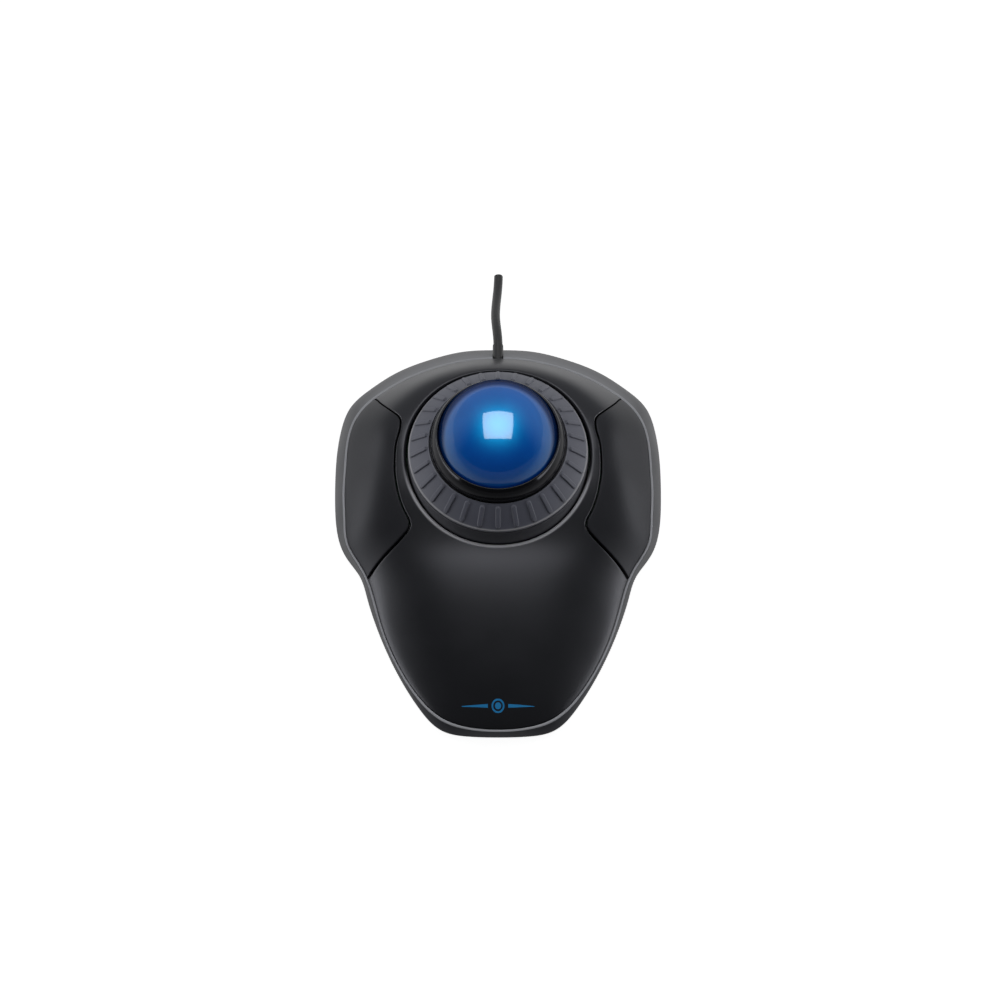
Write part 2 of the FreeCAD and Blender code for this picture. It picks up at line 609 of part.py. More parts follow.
# ---------------------------------------------------------------- ball sensor
def at_sensor(shape):
    """place a shape drawn about the ball centre, its local +Z along the sensor direction"""
    placed = shape.copy()
    placed.Placement = FreeCAD.Placement(
        BALL_CENTRE, FreeCAD.Rotation(X_DIR, SENSOR_UP * -1, SENSOR_DIR, "ZXY"))
    return placed


def led_sphere(r):
    return Part.makeSphere(r, Vec(0, 4.1, 24.75))


sensor_board = cut_each(box(-8.5, 8.5, -5.5, 5.5, 26.02, 27.0),
                        [cyl(1.0, x, 0, 25, 28) for x in SENSOR_SCREW_X])
lens = cyl(3.9, 0, 0, 21.3, 23.2).fuse(box(-4.5, 4.5, -4.2, 4.2, 23.0, 24.5))
save("sensor_pcb", at_sensor(sensor_board))
save("optical_sensor", at_sensor(box(-3.6, 3.6, -2.6, 2.6, 24.6, 26.0)))
save("sensor_lens", at_sensor(lens.cut(led_sphere(1.0))))
save("sensor_led", at_sensor(box(-1.6, 1.6, 3.0, 5.2, 24.7, 26.0).fuse(led_sphere(.9))))
save_group("sensor_screws", [
    at_sensor(cyl(0.8, x, 0, 23.2, 27.1).fuse(cyl(1.5, x, 0, 27.02, 28.0)))
    for x in SENSOR_SCREW_X])


def sensor_ribbon():
    """6 mm wide ribbon from the sensor board down to its connector"""
    start = BALL_CENTRE + SENSOR_DIR * 27.05 + SENSOR_UP * -2.0
    upper = [(start.y, start.z), (start.y - 1.2, start.z - 2.0), (start.y - 3.2, 10.55),
             (start.y - 6.0, 10.25), (-18.2, 10.25)]
    shifts = [(0.21, -0.13), (0.15, -0.2), (0, -0.25), (0, -0.25), (0, -0.25)]
    lower = [(y + dy, z + dz) for (y, z), (dy, dz) in zip(upper, shifts)]
    loop = [Vec(-3, y, z) for y, z in upper + lower[::-1] + upper[:1]]
    return Part.Face(Part.makePolygon(loop)).extrude(Vec(6, 0, 0))


save("sensor_ribbon", sensor_ribbon())
save("ribbon_connector", box(-4.2, 4.2, -21.5, -18.0, PCB_Z1, 11.2).cut(
    box(-3.1, 3.1, -20.5, -17, 9.95, 10.3)))

# ---------------------------------------------------------------- board components
# photo interrupter: a body, two uprights either side of the ring skirt, four leads
interrupter = box(24.0, 28.8, -3.0, 3.0, 17.6, 22.4).multiFuse(
    [box(24.0, 25.7, -3.0, 3.0, 22.3, 26.6), box(27.1, 28.8, -3.0, 3.0, 22.3, 26.6)]
    + [cyl(.3, x, y, PCB_Z1 + .02, 18) for x in (25.0, 27.8) for y in (-1.8, 1.8)])
save("ring_photo_interrupter", turned(interrupter, INTERRUPTER_AZIMUTH))


def switch_box(half_x, half_y, z0, z1):
    return box(SWITCH_X - half_x, SWITCH_X + half_x, SWITCH_Y - half_y, SWITCH_Y + half_y,
               z0, z1)


switch = switch_box(2.9, 6.4, PCB_Z1, 16.1).cut(switch_box(.7, 1.55, 13.6, 17))
switch = cut_each(switch, [cyl_x(1.1, SWITCH_X - 4, SWITCH_X + 4, SWITCH_Y + dy, 12.0)
                           for dy in (-4.2, 4.2)])
plunger = switch_box(.6, 1.45, 14.6, PLUNGER_TOP)
for part_name, part in (("switch_body", switch), ("switch_plunger", plunger)):
    save("right_" + part_name, part)
    save("left_" + part_name, mirror(part))

chip = box(11, 19, -24, -16, PCB_Z1 + .15, 11.3)
save("controller_chip", chip.multiFuse(
    [box(11.3 + .8 * i, 11.7 + .8 * i, -25, -15, PCB_Z1, PCB_Z1 + .45) for i in range(10)]))
crystal = box(-22, -15.5, -23, -18.8, PCB_Z1, 13.0)
save("crystal", crystal.multiFuse([cyl(2.1, x, -20.9, PCB_Z1, 13.0) for x in (-22, -15.5)]))
save_group("capacitors", [cyl(2.5, x, 18, PCB_Z1, 16.4) for x in (20, -20)])
save("cable_connector", box(-17, -7, 19.6, 24.4, PCB_Z1, 13.6).cut(
    box(-16, -8, 21.0, 25, 10.6, 12.8)))
save("cable_plug", box(-15.8, -8.2, 21.3, 26.4, 10.75, 12.65))

# ---------------------------------------------------------------- cable
# cut end of the cable: as far behind the ball as the front edge is ahead of it
CABLE_END_Y = BASE_RADII[0] - PLAN_Y
JACKET_Y, BEND_Y = 36.0, 54.0        # inner end of the jacket, end of the straight part
WIRE_R, WIRE_OFFSET = 0.42, 0.45     # insulated cores and their offset inside the jacket
WIRE_START_Z = 11.7


def rod(points, r):
    """round rod through the points, square to +Y at both ends"""
    rings = []
    last = len(points) - 1
    for i, point in enumerate(points):
        along = points[min(i + 1, last)].sub(points[max(i - 1, 0)])
        if i in (0, last):
            along = Vec(0, 1, 0)
        along.normalize()
        side = along.cross(Z_DIR).normalize()    # every ring starts on the same side
        other = along.cross(side)
        curve = Part.BSplineCurve()
        curve.interpolate([point + side * (r * math.cos(math.pi * k / 8))
                           + other * (r * math.sin(math.pi * k / 8)) for k in range(16)],
                          PeriodicFlag=True)
        rings.append(Part.Wire([curve.toShape()]))
    return Part.makeLoft(rings, True, True)


def cable_point(y):
    """cable centre past the straight part: down to the desk, wandering a little sideways"""
    x = -0.95 * (smooth((y - BEND_Y) / 16.0) - 1.2 * smooth((y - 70) / 22.0))
    return Vec(x, y, CABLE_Z - 8.45 * smooth((y - BEND_Y) / 34.0))


bend = [cable_point(BEND_Y + 2.0 * i) for i in range(23)]
jacket_line = [Vec(0, JACKET_Y, CABLE_Z)] + bend


def wire(index, dx, dz):
    """one core: from the plug across to the jacket, then along it at offset (dx, dz)"""
    plug_x = -14.2 + index * 1.45
    cross_z = 10.1 + 1.0 * index         # each core crosses at its own height
    end_z = CABLE_Z + dz
    curve = Part.BSplineCurve()
    curve.interpolate([Vec(plug_x, 26.45, WIRE_START_Z),
                       Vec(plug_x + .3, 28.2, 0.5 * WIRE_START_Z + 0.5 * cross_z),
                       Vec((plug_x + dx) / 2, 30.4, cross_z),
                       Vec(dx - .9, 32.7, 0.9 * cross_z + 0.1 * end_z),
                       Vec(dx, 34.8, 0.85 * end_z + 0.15 * cross_z),
                       Vec(dx, JACKET_Y, end_z)])
    start, span = curve.FirstParameter, curve.LastParameter - curve.FirstParameter
    lead = [curve.value(start + span * k / 8.0) for k in range(9)]
    return rod(lead + [p + Vec(dx, 0, dz) for p in bend], WIRE_R)


trim = box(-10, 10, CABLE_END_Y, CABLE_END_Y + 20, -10, 20)
save("usb_cable", rod(jacket_line, CABLE_R).cut(rod(jacket_line, 1.15)).cut(trim))
save_group("cable_wires", [
    wire(i, sx * WIRE_OFFSET, sz * WIRE_OFFSET).cut(trim).removeSplitter()
    for i, (sx, sz) in enumerate(((-1, -1), (1, -1), (-1, 1), (1, 1)))])

relief = box(-FLANGE_HALF_W, FLANGE_HALF_W, FLANGE_Y0, FLANGE_Y1,
             CABLE_Z - FLANGE_DOWN, CABLE_Z + FLANGE_UP)
save("strain_relief", relief.fuse(cable_cyl(1.95, FLANGE_Y1 - .1, BEND_Y)).cut(
    cable_cyl(CABLE_R + .05, 40, 60)))

arch = cable_cyl(3.2, CLAMP_Y0, CLAMP_Y1).common(box(-5, 5, 36, 43, CLAMP_Z0, 20))
clamp = box(-8.4, 8.4, CLAMP_Y0, CLAMP_Y1, CLAMP_Z0, CLAMP_Z1).fuse(arch)
save("cable_clamp", cut_each(clamp, [
    cable_cyl(CABLE_R + .03, 30, 60), box(-1.6, 1.6, 30, 50, 8, CABLE_Z),
    *[cyl(1.15, x, CLAMP_SCREW_Y, 5, 14) for x in CLAMP_SCREW_X[::-1]]]))


# ---------------------------------------------------------------- fasteners
def screw(x, y, r, head_r, z0, z1, head_h, head_up=True):
    """cross-head screw: thread z0 to z1, head above z1, or below z0 if not head_up"""
    slot_half, slot_depth = .25, .5
    if head_up:
        shank = cyl(r, x, y, z0, z1 + .01)
        head_z = z1
        slot_z = z1 + head_h - slot_depth
    else:
        shank = cyl(r, x, y, z0 - .01, z1)
        head_z = slot_z = z0 - head_h
    body = shank.fuse(cyl(head_r, x, y, head_z, head_z + head_h))
    arm = head_r * .6
    return cut_each(body, [box(x - dx, x + dx, y - dy, y + dy, slot_z, slot_z + slot_depth)
                           for dx, dy in ((arm, slot_half), (slot_half, arm))])


save_group("case_screws", [
    screw(x, y, 1.0, 2.6, recess_top - .02, joint + bite, 1.7, head_up=False)
    for x, y, joint, recess_top, _, bite in CASE_POSTS])
save_group("pcb_screws", [screw(x, y, 0.9, 2.1, 4.8, PCB_Z1 + .02, 1.4)
                          for x, y in PCB_POSTS])
save_group("cup_screws", [screw(x, y, 1.1, 2.1, 9.0, COLLAR_FLOOR_TOP + .02, 1.4)
                          for x, y in CUP_POSTS])
save_group("clamp_screws", [screw(x, CLAMP_SCREW_Y, 0.9, 1.9, 5.0, CLAMP_Z1 + .02, 1.3)
                            for x in CLAMP_SCREW_X])
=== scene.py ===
"""Desktop trackball: a blue ball in a ribbed finger ring, a wide black shell and two side keys.

The ball axis is x = y = 0 and the table is z = 0. The front, with the palm rest, is at -y, the
cable leaves at +y, and +x is the right. Shapes are in millimetres; link() turns them into
metres. Materials, lights and the camera are in metres.
"""
import json
import math
from contextlib import contextmanager

import bmesh
import bpy
import numpy as np
from mathutils import Matrix, Vector
from mathutils.geometry import delaunay_2d_cdt


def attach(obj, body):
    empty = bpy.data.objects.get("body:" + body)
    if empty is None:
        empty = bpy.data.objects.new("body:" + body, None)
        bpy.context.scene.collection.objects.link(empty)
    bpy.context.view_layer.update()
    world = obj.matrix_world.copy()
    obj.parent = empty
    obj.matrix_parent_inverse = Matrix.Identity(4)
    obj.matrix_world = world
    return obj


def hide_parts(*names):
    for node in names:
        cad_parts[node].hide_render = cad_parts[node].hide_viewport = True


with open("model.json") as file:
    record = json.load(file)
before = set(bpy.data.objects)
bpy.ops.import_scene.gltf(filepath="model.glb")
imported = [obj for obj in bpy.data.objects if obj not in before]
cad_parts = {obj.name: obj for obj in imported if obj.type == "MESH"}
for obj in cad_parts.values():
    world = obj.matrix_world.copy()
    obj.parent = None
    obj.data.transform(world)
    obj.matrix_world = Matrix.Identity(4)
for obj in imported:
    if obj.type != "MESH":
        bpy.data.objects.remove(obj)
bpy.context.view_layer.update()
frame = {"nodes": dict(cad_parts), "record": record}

# ------------------------------------------------------------------ driving sizes (mm)
MM = 0.001
BALL_RADIUS, BALL_Z = 20.0, 38.0
OPENING_RADIUS = 31.3                 # round hole in the upper shell
PLAN_Y = -17.0                        # centre of the polar plan outlines, at x = 0
SHELL_THICKNESS = 2.2
FLOOR_Z = 3.4                         # inside floor of the lower shell
WALL_FOOT_Z, FOOT_ROUNDING = 2.5, 1.3
RIM_LEDGE = 0.9                       # rim of the lower shell outside the covers
SEAT_DEPTH = 1.8                      # seat of the covers below the rim
RIM_FRONT_Z, RIM_RISE, REAR_RISE = 6, 6.5, 0.7
CABLE_Z = 10.6
KEY_GAP_HALF = 0.26                   # half the gap between a key and the upper shell
TURN_SEGMENTS = 256

# Plan outlines: angle from +x in degrees, radius of the lower shell, radius of the covers.
# The left side mirrors the right.
PLAN_ANGLES = np.array([
    -90, -82, -75, -68, -60, -50, -40, -30, -20, -10, 0,
    10, 20, 28, 35, 42, 50, 60, 70, 80, 90], float)
BASE_RADII = np.array([
    73.9, 74.28, 73.8, 69.4, 63.9, 58.38, 54.42, 51.77, 51.02, 54.39, 56.8,
    58.87, 62.2, 66.05, 69.98, 73.45, 74.24, 74.64, 74.5, 74.65, 74.2])
SHELL_RADII = np.array([
    72.08, 71.89, 70.6, 67.1, 62.22, 56.81, 52.33, 49.44, 49.52, 51.96, 52.49,
    54.02, 56.62, 60.0, 62.97, 64.42, 64.38, 64.02, 63.66, 63.56, 63.55])
# Centre line of the top: y, z
CROWN_Y = np.array([
    -100, -91, -85, -75, -60, -45, -38, -31.3, -20, -10, 0, 10, 20, 30, 40, 50, 62], float)
CROWN_Z = np.array([
    3.6, 8.0, 10.3, 13.6, 18.1, 21.6, 22.8, 23.8, 26.8, 29.6, 31.6, 32.4, 32.1, 31.1, 28.9,
    25.5, 21.0])
# Middle of the gap beside the right key, rear to front: x, y
KEY_GAP = [
    (46.6, 32.5), (44.0, 29.1), (41.7, 24.6), (39.6, 21.0), (37.2, 17.6), (35.7, 15.8),
    (34.7, 14.7), (34.0, 13.8), (33.5, 12.8), (33.25, 11.6), (33.25, 10.2), (33.5, 8.1),
    (34.1, 5.8), (34.6, 3.4), (34.85, 0.6), (34.9, -3.0), (34.8, -6.3), (34.3, -9.8),
    (33.6, -13.2), (32.6, -16.5), (31.4, -19.4), (30.2, -21.6), (29.5, -23.4), (29.7, -25.2),
    (31.0, -26.9), (33.4, -29.2), (36.3, -31.6), (38.9, -33.7), (41.2, -35.7), (43.5, -38.0),
    (46.5, -41.0)]


# ------------------------------------------------------------------ curves and surfaces
def spline(xs, ys, clamped=True):
    """Cubic spline as (stations, values, second derivatives).

    The ends have zero slope when clamped, otherwise zero curvature.
    """
    count = len(xs)
    gaps = np.diff(xs)
    matrix, rhs = np.zeros((count, count)), np.zeros(count)
    for i in range(1, count - 1):
        matrix[i, i - 1:i + 2] = gaps[i - 1], 2 * (gaps[i - 1] + gaps[i]), gaps[i]
        rhs[i] = 6 * ((ys[i + 1] - ys[i]) / gaps[i] - (ys[i] - ys[i - 1]) / gaps[i - 1])
    if clamped:
        matrix[0, :2] = 2 * gaps[0], gaps[0]
        matrix[-1, -2:] = gaps[-1], 2 * gaps[-1]
        rhs[0] = 6 * (ys[1] - ys[0]) / gaps[0]
        rhs[-1] = -6 * (ys[-1] - ys[-2]) / gaps[-1]
    else:
        matrix[0, 0] = matrix[-1, -1] = 1
    return xs, ys, np.linalg.solve(matrix, rhs)


def evaluate(curve, x):
    xs, ys, bends = curve
    x = np.clip(np.asarray(x, float), xs[0], xs[-1])
    i = np.clip(np.searchsorted(xs, x) - 1, 0, len(xs) - 2)
    gap = xs[i + 1] - xs[i]
    before, after = (xs[i + 1] - x) / gap, (x - xs[i]) / gap
    bend = (before ** 3 - before) * bends[i] + (after ** 3 - after) * bends[i + 1]
    return before * ys[i] + after * ys[i + 1] + bend * gap * gap / 6


BASE_PLAN = spline(PLAN_ANGLES, BASE_RADII)
SHELL_PLAN = spline(PLAN_ANGLES, SHELL_RADII)
CROWN_LINE = spline(CROWN_Y, CROWN_Z)


def step(value):
    value = np.clip(value, 0, 1)
    return value * value * (3 - 2 * value)


def rim_z(y):
    return RIM_FRONT_Z + RIM_RISE * step((y + 89) / 85.0) + REAR_RISE * np.clip(y / 50.0, 0, 1)


def seat_z(y):
    return rim_z(y) - SEAT_DEPTH


def slant(angle, plan):
    """Radial distance for one unit of distance square to the outline."""
    radius = evaluate(plan, angle)
    ahead = evaluate(plan, np.minimum(angle + .5, 90))
    behind = evaluate(plan, np.maximum(angle - .5, -90))
    return np.hypot(radius, (ahead - behind) / math.radians(1.0)) / radius


def outline_y(angle):
    return PLAN_Y + evaluate(SHELL_PLAN, angle) * np.sin(np.radians(angle))


def from_outline(x, y):
    """Distance inside the cover outline, and the polar angle there."""
    angle = np.degrees(np.arctan2(y - PLAN_Y, np.abs(x)))
    radial = evaluate(SHELL_PLAN, angle) - np.hypot(np.abs(x), y - PLAN_Y)
    return radial / slant(angle, SHELL_PLAN), angle


def top_z(x, y):
    """Top surface of the covers: side slopes run softly into the crown."""
    x, y = np.asarray(x, float), np.asarray(y, float)
    distance, angle = from_outline(x, y)
    edge_y = outline_y(angle)
    steepness = 0.80 + 0.25 * step((edge_y + 70) / 60) + 0.25 * step((edge_y - 25) / 20)
    shoulder = 0.5 * (1 - np.exp(-np.maximum(distance, -1.5) / 1.2))
    side = rim_z(edge_y) + 0.5 + steepness * distance + shoulder
    crown = evaluate(CROWN_LINE, y) - (0.0038 - 0.0016 * step((y + 60) / 50)) * x * x
    softness = 2.4
    lower = np.minimum(side, crown)
    return lower - softness * np.log(
        np.exp(-(side - lower) / softness) + np.exp(-(crown - lower) / softness))


def polar(angle, radius):
    """Plan points on the right-hand side."""
    turn = np.radians(angle)
    return np.stack([radius * np.cos(turn), PLAN_Y + radius * np.sin(turn)], -1)


def wall_radius(angle, z, inner=False):
    """Radius of the lower shell's leaning wall, on its outer or inner face."""
    foot = evaluate(BASE_PLAN, angle)
    head = evaluate(SHELL_PLAN, angle) + RIM_LEDGE * slant(angle, SHELL_PLAN)
    height = rim_z(outline_y(angle)) - WALL_FOOT_Z
    share = (z - WALL_FOOT_Z) / height
    eased = np.where(share > 1, 1 + 1.25 * (share - 1), 0.75 * share + 0.25 * share * share)
    radius = foot + (head - foot) * eased
    if inner:
        lean = (foot - head) / height
        radius = radius - (3.0 + 1.8 * lean) * slant(angle, BASE_PLAN)
    return radius


# ------------------------------------------------------------------ mesh helpers
@contextmanager
def editing(mesh):
    work = bmesh.new()
    work.from_mesh(mesh)
    yield work
    work.to_mesh(mesh)
    work.free()


def link(name, verts, faces, smooth=True):
    """Object from points in millimetres, linked to the scene."""
    mesh = bpy.data.meshes.new(name)
    points = [tuple(v) for v in np.asarray(verts, float) * MM]
    mesh.from_pydata(points, [], [tuple(int(i) for i in face) for face in faces])
    mesh.validate()
    mesh.update()
    piece = bpy.data.objects.new(name, mesh)
    bpy.context.collection.objects.link(piece)
    if smooth:
        mesh.polygons.foreach_set("use_smooth", [True] * len(mesh.polygons))
    return piece


def outward(piece):
    with editing(piece.data) as work:
        bmesh.ops.recalc_face_normals(work, faces=work.faces)
    return piece


def sharpen(piece, crease):
    """Smooth shading, with sharp edges from the crease angle (degrees) up."""
    with editing(piece.data) as work:
        for face in work.faces:
            face.smooth = True
        for edge in work.edges:
            if len(edge.link_faces) == 2:
                edge.smooth = edge.calc_face_angle(0) < math.radians(crease)
    return piece


def border(faces):
    """Directed edges that only one face uses."""
    edges = {}
    for face in faces:
        for pair in zip(face, face[1:] + face[:1]):
            edges[pair] = True
    return [(a, b) for a, b in edges if (b, a) not in edges]


def lathe(name, profile, segments=TURN_SEGMENTS, crease=38):
    """Closed (radius, z) profile turned about z; a point on the axis becomes one vertex."""
    verts, rows = [], []
    turns = 2 * math.pi * np.arange(segments) / segments
    for radius, z in profile:
        start = len(verts)
        if radius < 1e-6:
            rows.append([start] * segments)
            verts.append((0, 0, z))
        else:
            rows.append(list(range(start, start + segments)))
            ring_z = np.full(segments, z)
            verts.extend(zip(radius * np.cos(turns), radius * np.sin(turns), ring_z))
    faces = []
    for row, after in zip(rows, rows[1:] + rows[:1]):
        if row[0] == row[1] and after[0] == after[1]:
            continue
        for j in range(segments):
            k = (j + 1) % segments
            # a repeated axis vertex is dropped, which leaves a triangle
            faces.append(tuple(dict.fromkeys((row[j], row[k], after[k], after[j]))))
    return sharpen(outward(link(name, verts, faces)), crease)


def arc(start, middle, end, steps):
    """Points from start to end on the circle through middle."""
    (ax, ay), (bx, by), (cx, cy) = start, middle, end
    double = 2 * (ax * (by - cy) + bx * (cy - ay) + cx * (ay - by))
    asq, bsq, csq = ax * ax + ay * ay, bx * bx + by * by, cx * cx + cy * cy
    center_x = (asq * (by - cy) + bsq * (cy - ay) + csq * (ay - by)) / double
    center_y = (asq * (cx - bx) + bsq * (ax - cx) + csq * (bx - ax)) / double
    radius = math.hypot(ax - center_x, ay - center_y)
    first, via, last = (math.atan2(y - center_y, x - center_x) for x, y in (start, middle, end))
    sweep = (last - first) % (2 * math.pi)
    if (via - first) % (2 * math.pi) > sweep:
        sweep -= 2 * math.pi
    turns = [first + sweep * k / steps for k in range(steps + 1)]
    return [(center_x + radius * math.cos(turn), center_y + radius * math.sin(turn))
            for turn in turns]


def rounded(corners, radii, steps):
    """Closed polygon with a rounding radius for each corner."""
    points = []
    for i, radius in enumerate(radii):
        corner = np.array(corners[i], float)
        back = np.array(corners[i - 1], float) - corner
        ahead = np.array(corners[(i + 1) % len(corners)], float) - corner
        back_length, ahead_length = np.linalg.norm(back), np.linalg.norm(ahead)
        back, ahead = back / back_length, ahead / ahead_length
        half = math.acos(float(back @ ahead)) / 2
        cut = min(radius / math.tan(half), 0.48 * back_length, 0.48 * ahead_length)
        radius = cut * math.tan(half)
        bisector = (back + ahead) / np.linalg.norm(back + ahead)
        center = corner + bisector * (radius / math.sin(half))
        first = math.atan2(*(corner + back * cut - center)[::-1])
        last = math.atan2(*(corner + ahead * cut - center)[::-1])
        sweep = (last - first + math.pi) % (2 * math.pi) - math.pi
        for k in range(steps + 1):
            turn = first + sweep * k / steps
            points.append((float(center[0] + radius * math.cos(turn)),
                           float(center[1] + radius * math.sin(turn))))
    return points


# ------------------------------------------------------------------ plan loops
def loop_distance(points, loop):
    """Distance of each point to a closed loop."""
    spans = np.roll(loop, -1, 0) - loop
    squares = np.maximum((spans ** 2).sum(1), 1e-12)
    result = np.full(len(points), 1e9)
    chunk = 800                        # keeps the arrays small
    for i in range(0, len(points), chunk):
        offset = points[i:i + chunk, None, :] - loop[None]
        share = np.clip((offset * spans[None]).sum(2) / squares[None], 0, 1)
        miss = offset - share[..., None] * spans[None]
        result[i:i + chunk] = np.sqrt((miss ** 2).sum(2).min(1))
    return result


def loop_distances(points, loops):
    return np.stack([loop_distance(points, loop) for loop in loops], 1)


def inside(points, loop):
    x, y = points[:, 0], points[:, 1]
    result = np.zeros(len(points), bool)
    for (x0, y0), (x1, y1) in zip(loop, np.roll(loop, -1, 0)):
        if y0 != y1:
            result ^= ((y0 > y) != (y1 > y)) & (x < (x1 - x0) * (y - y0) / (y1 - y0) + x0)
    return result


def in_sheet(points, loops):
    """Inside the first loop and outside the others."""
    result = inside(points, loops[0])
    for hole in loops[1:]:
        result &= ~inside(points, hole)
    return result


def resample(loop, spacing):
    """Even spacing along a closed loop, with its real corners kept."""
    loop = np.asarray(loop, float)
    count = len(loop)
    corners = []
    for i in range(count):
        before, after = loop[i] - loop[i - 1], loop[(i + 1) % count] - loop[i]
        size = np.linalg.norm(before) * np.linalg.norm(after)
        if (before @ after) / max(size, 1e-12) < math.cos(math.radians(25)):
            corners.append(i)
    corners = corners or [0]
    result = []
    for a, b in zip(corners, corners[1:] + corners[:1]):
        if b > a:
            span = loop[a:b + 1]
        else:
            span = np.vstack([loop[a:], loop[:b + 1]])
        run = np.r_[0, np.cumsum(np.hypot(*np.diff(span, axis=0).T))]
        steps = max(int(round(run[-1] / spacing)), 1)
        at = np.linspace(0, run[-1], steps + 1)[:-1]
        result.append(np.stack([np.interp(at, run, span[:, 0]),
                                np.interp(at, run, span[:, 1])], 1))
    return np.vstack(result)


def signed_area(loop):
    after = np.roll(loop, -1, 0)
    return float((loop[:, 0] * after[:, 1] - after[:, 0] * loop[:, 1]).sum())


def inward_normals(loop):
    """Mitred normals to the left of the loop's direction."""
    before = loop - np.roll(loop, 1, 0)
    after = np.roll(loop, -1, 0) - loop
    left = [np.stack([-edge[:, 1], edge[:, 0]], 1) / np.hypot(*edge.T)[:, None]
            for edge in (before, after)]
    normal = left[0] + left[1]
    normal /= np.maximum(np.hypot(*normal.T)[:, None], 1e-9)
    return normal / np.maximum((normal * left[0]).sum(1), 0.35)[:, None]


def mirrored(loop):
    return np.stack([-loop[:, 0], loop[:, 1]], 1)


# ------------------------------------------------------------------ upper shell and keys
RIM_ROUNDING = 0.16                    # cover edge radius along the rim of the lower shell
GAP_ROUNDING = 0.42                    # cover edge radius along a key gap
OPENING_ROUNDING = 1.15
KEY_SKIRT = 1.27                       # underside of a key above the seat
GROMMET_HALF, GROMMET_Y, GROMMET_TOP = 4.7, 43.0, 2.1
EDGE_STEP = 0.8
MESH_STEP = 1.4
ROUNDING_STEPS = [0.034, 0.134, 0.293, 0.5, 0.741, 1.0]    # shares of the edge radius


def sheet_points(loops, edge_radii):
    """Plan points within the sheet: rows along the edges, then a staggered grid."""
    groups = []
    for loop, radius in zip(loops, edge_radii):
        normals = inward_normals(loop)
        rows = [(radius * share, 1) for share in ROUNDING_STEPS]
        rows += [(radius + share * MESH_STEP * 0.8, every)
                 for share, every in ((0.45, 1), (1.1, 2))]
        for offset, every in rows:
            points = loop + normals * offset
            clear = loop_distances(points, loops).min(1) > offset * 0.985
            groups.append(points[in_sheet(points, loops) & clear][::every])
    low, high = loops[0].min(0), loops[0].max(0)
    grid_x = np.arange(low[0], high[0], MESH_STEP)
    grid_y = np.arange(low[1], high[1], MESH_STEP * 0.866)
    grid = np.array([(x + (j % 2) * MESH_STEP / 2, y)
                     for j, y in enumerate(grid_y) for x in grid_x])
    clear = (loop_distances(grid, loops) - np.array(edge_radii)).min(1) > 1.35 * MESH_STEP
    groups.append(grid[in_sheet(grid, loops) & clear])
    points = np.vstack(groups)
    # points that fall on top of each other are dropped
    _, first = np.unique(np.round(points / 0.05).astype(int), axis=0, return_index=True)
    return points[np.sort(first)]


def triangulate(loops, points):
    """Constrained triangulation of the sheet: plan points and triangles."""
    edges, start = [], 0
    for loop in loops:
        count = len(loop)
        edges += [(start + i, start + (i + 1) % count) for i in range(count)]
        start += count
    points = [Vector(point) for point in np.vstack(loops + [points])]
    result = delaunay_2d_cdt(points, edges, [], 0, 1e-5, True)
    plan = np.array([tuple(v) for v in result[0]])
    triangles = np.array([tuple(face) for face in result[2]])
    triangles = triangles[in_sheet(plan[triangles].mean(1), loops)]
    used = np.unique(triangles)
    renumber = -np.ones(len(plan), int)
    renumber[used] = np.arange(len(used))
    return plan[used], renumber[triangles]


def edge_drop(plan, loops, edge_radii):
    """How far the rounded edges fall below the top surface."""
    distances = loop_distances(plan, loops)
    distances[distances < 2e-4] = 0
    to_rim = from_outline(plan[:, 0], plan[:, 1])[0]
    drop = np.zeros(len(plan))
    for k, radius in enumerate(edge_radii):
        rounding = np.full(len(plan), radius)
        if k == 0:
            # 0 along the rim, 1 along a key gap
            at_gap = step((to_rim - distances[:, 0] - 0.02) / 0.4)
            rounding = RIM_ROUNDING + (radius - RIM_ROUNDING) * at_gap
        depth = np.minimum(distances[:, k], rounding)
        square = np.maximum(rounding * rounding - (rounding - depth) ** 2, 0)
        drop = np.maximum(drop, rounding - np.sqrt(square))
    return drop


def cover(name, loops, edge_radii, underside):
    """Closed solid cover under top_z; loops[0] is the outside, the rest are holes."""
    oriented = []
    for i, loop in enumerate(loops):
        loop = resample(loop, EDGE_STEP)
        if (signed_area(loop) < 0) == (i == 0):
            loop = loop[::-1]
        oriented.append(loop)
    plan, triangles = triangulate(oriented, sheet_points(oriented, edge_radii))
    surface = top_z(plan[:, 0], plan[:, 1])
    upper = surface - edge_drop(plan, oriented, edge_radii)
    lower = np.minimum(underside(plan[:, 0], plan[:, 1], surface), upper - 0.15)
    count = len(plan)
    faces = [tuple(t) for t in triangles]
    edges = border(faces)
    faces += [tuple(t[::-1] + count) for t in triangles]
    # side wall, with three rows between the top and the underside
    rim = np.array([a for a, b in edges])
    place = {a: i for i, (a, b) in enumerate(edges)}
    after = [place[b] for a, b in edges]
    verts = [np.c_[plan, upper], np.c_[plan, lower]]
    rows = [rim]
    for i, share in enumerate((0.15, 0.5, 0.85)):
        verts.append(np.c_[plan[rim], upper[rim] * (1 - share) + lower[rim] * share])
        rows.append(2 * count + i * len(rim) + np.arange(len(rim)))
    rows.append(rim + count)
    for above, below in zip(rows[:-1], rows[1:]):
        for i, k in enumerate(after):
            faces.append((above[i], below[i], below[k], above[k]))
    return sharpen(outward(link(name, np.vstack(verts), faces)), 50)


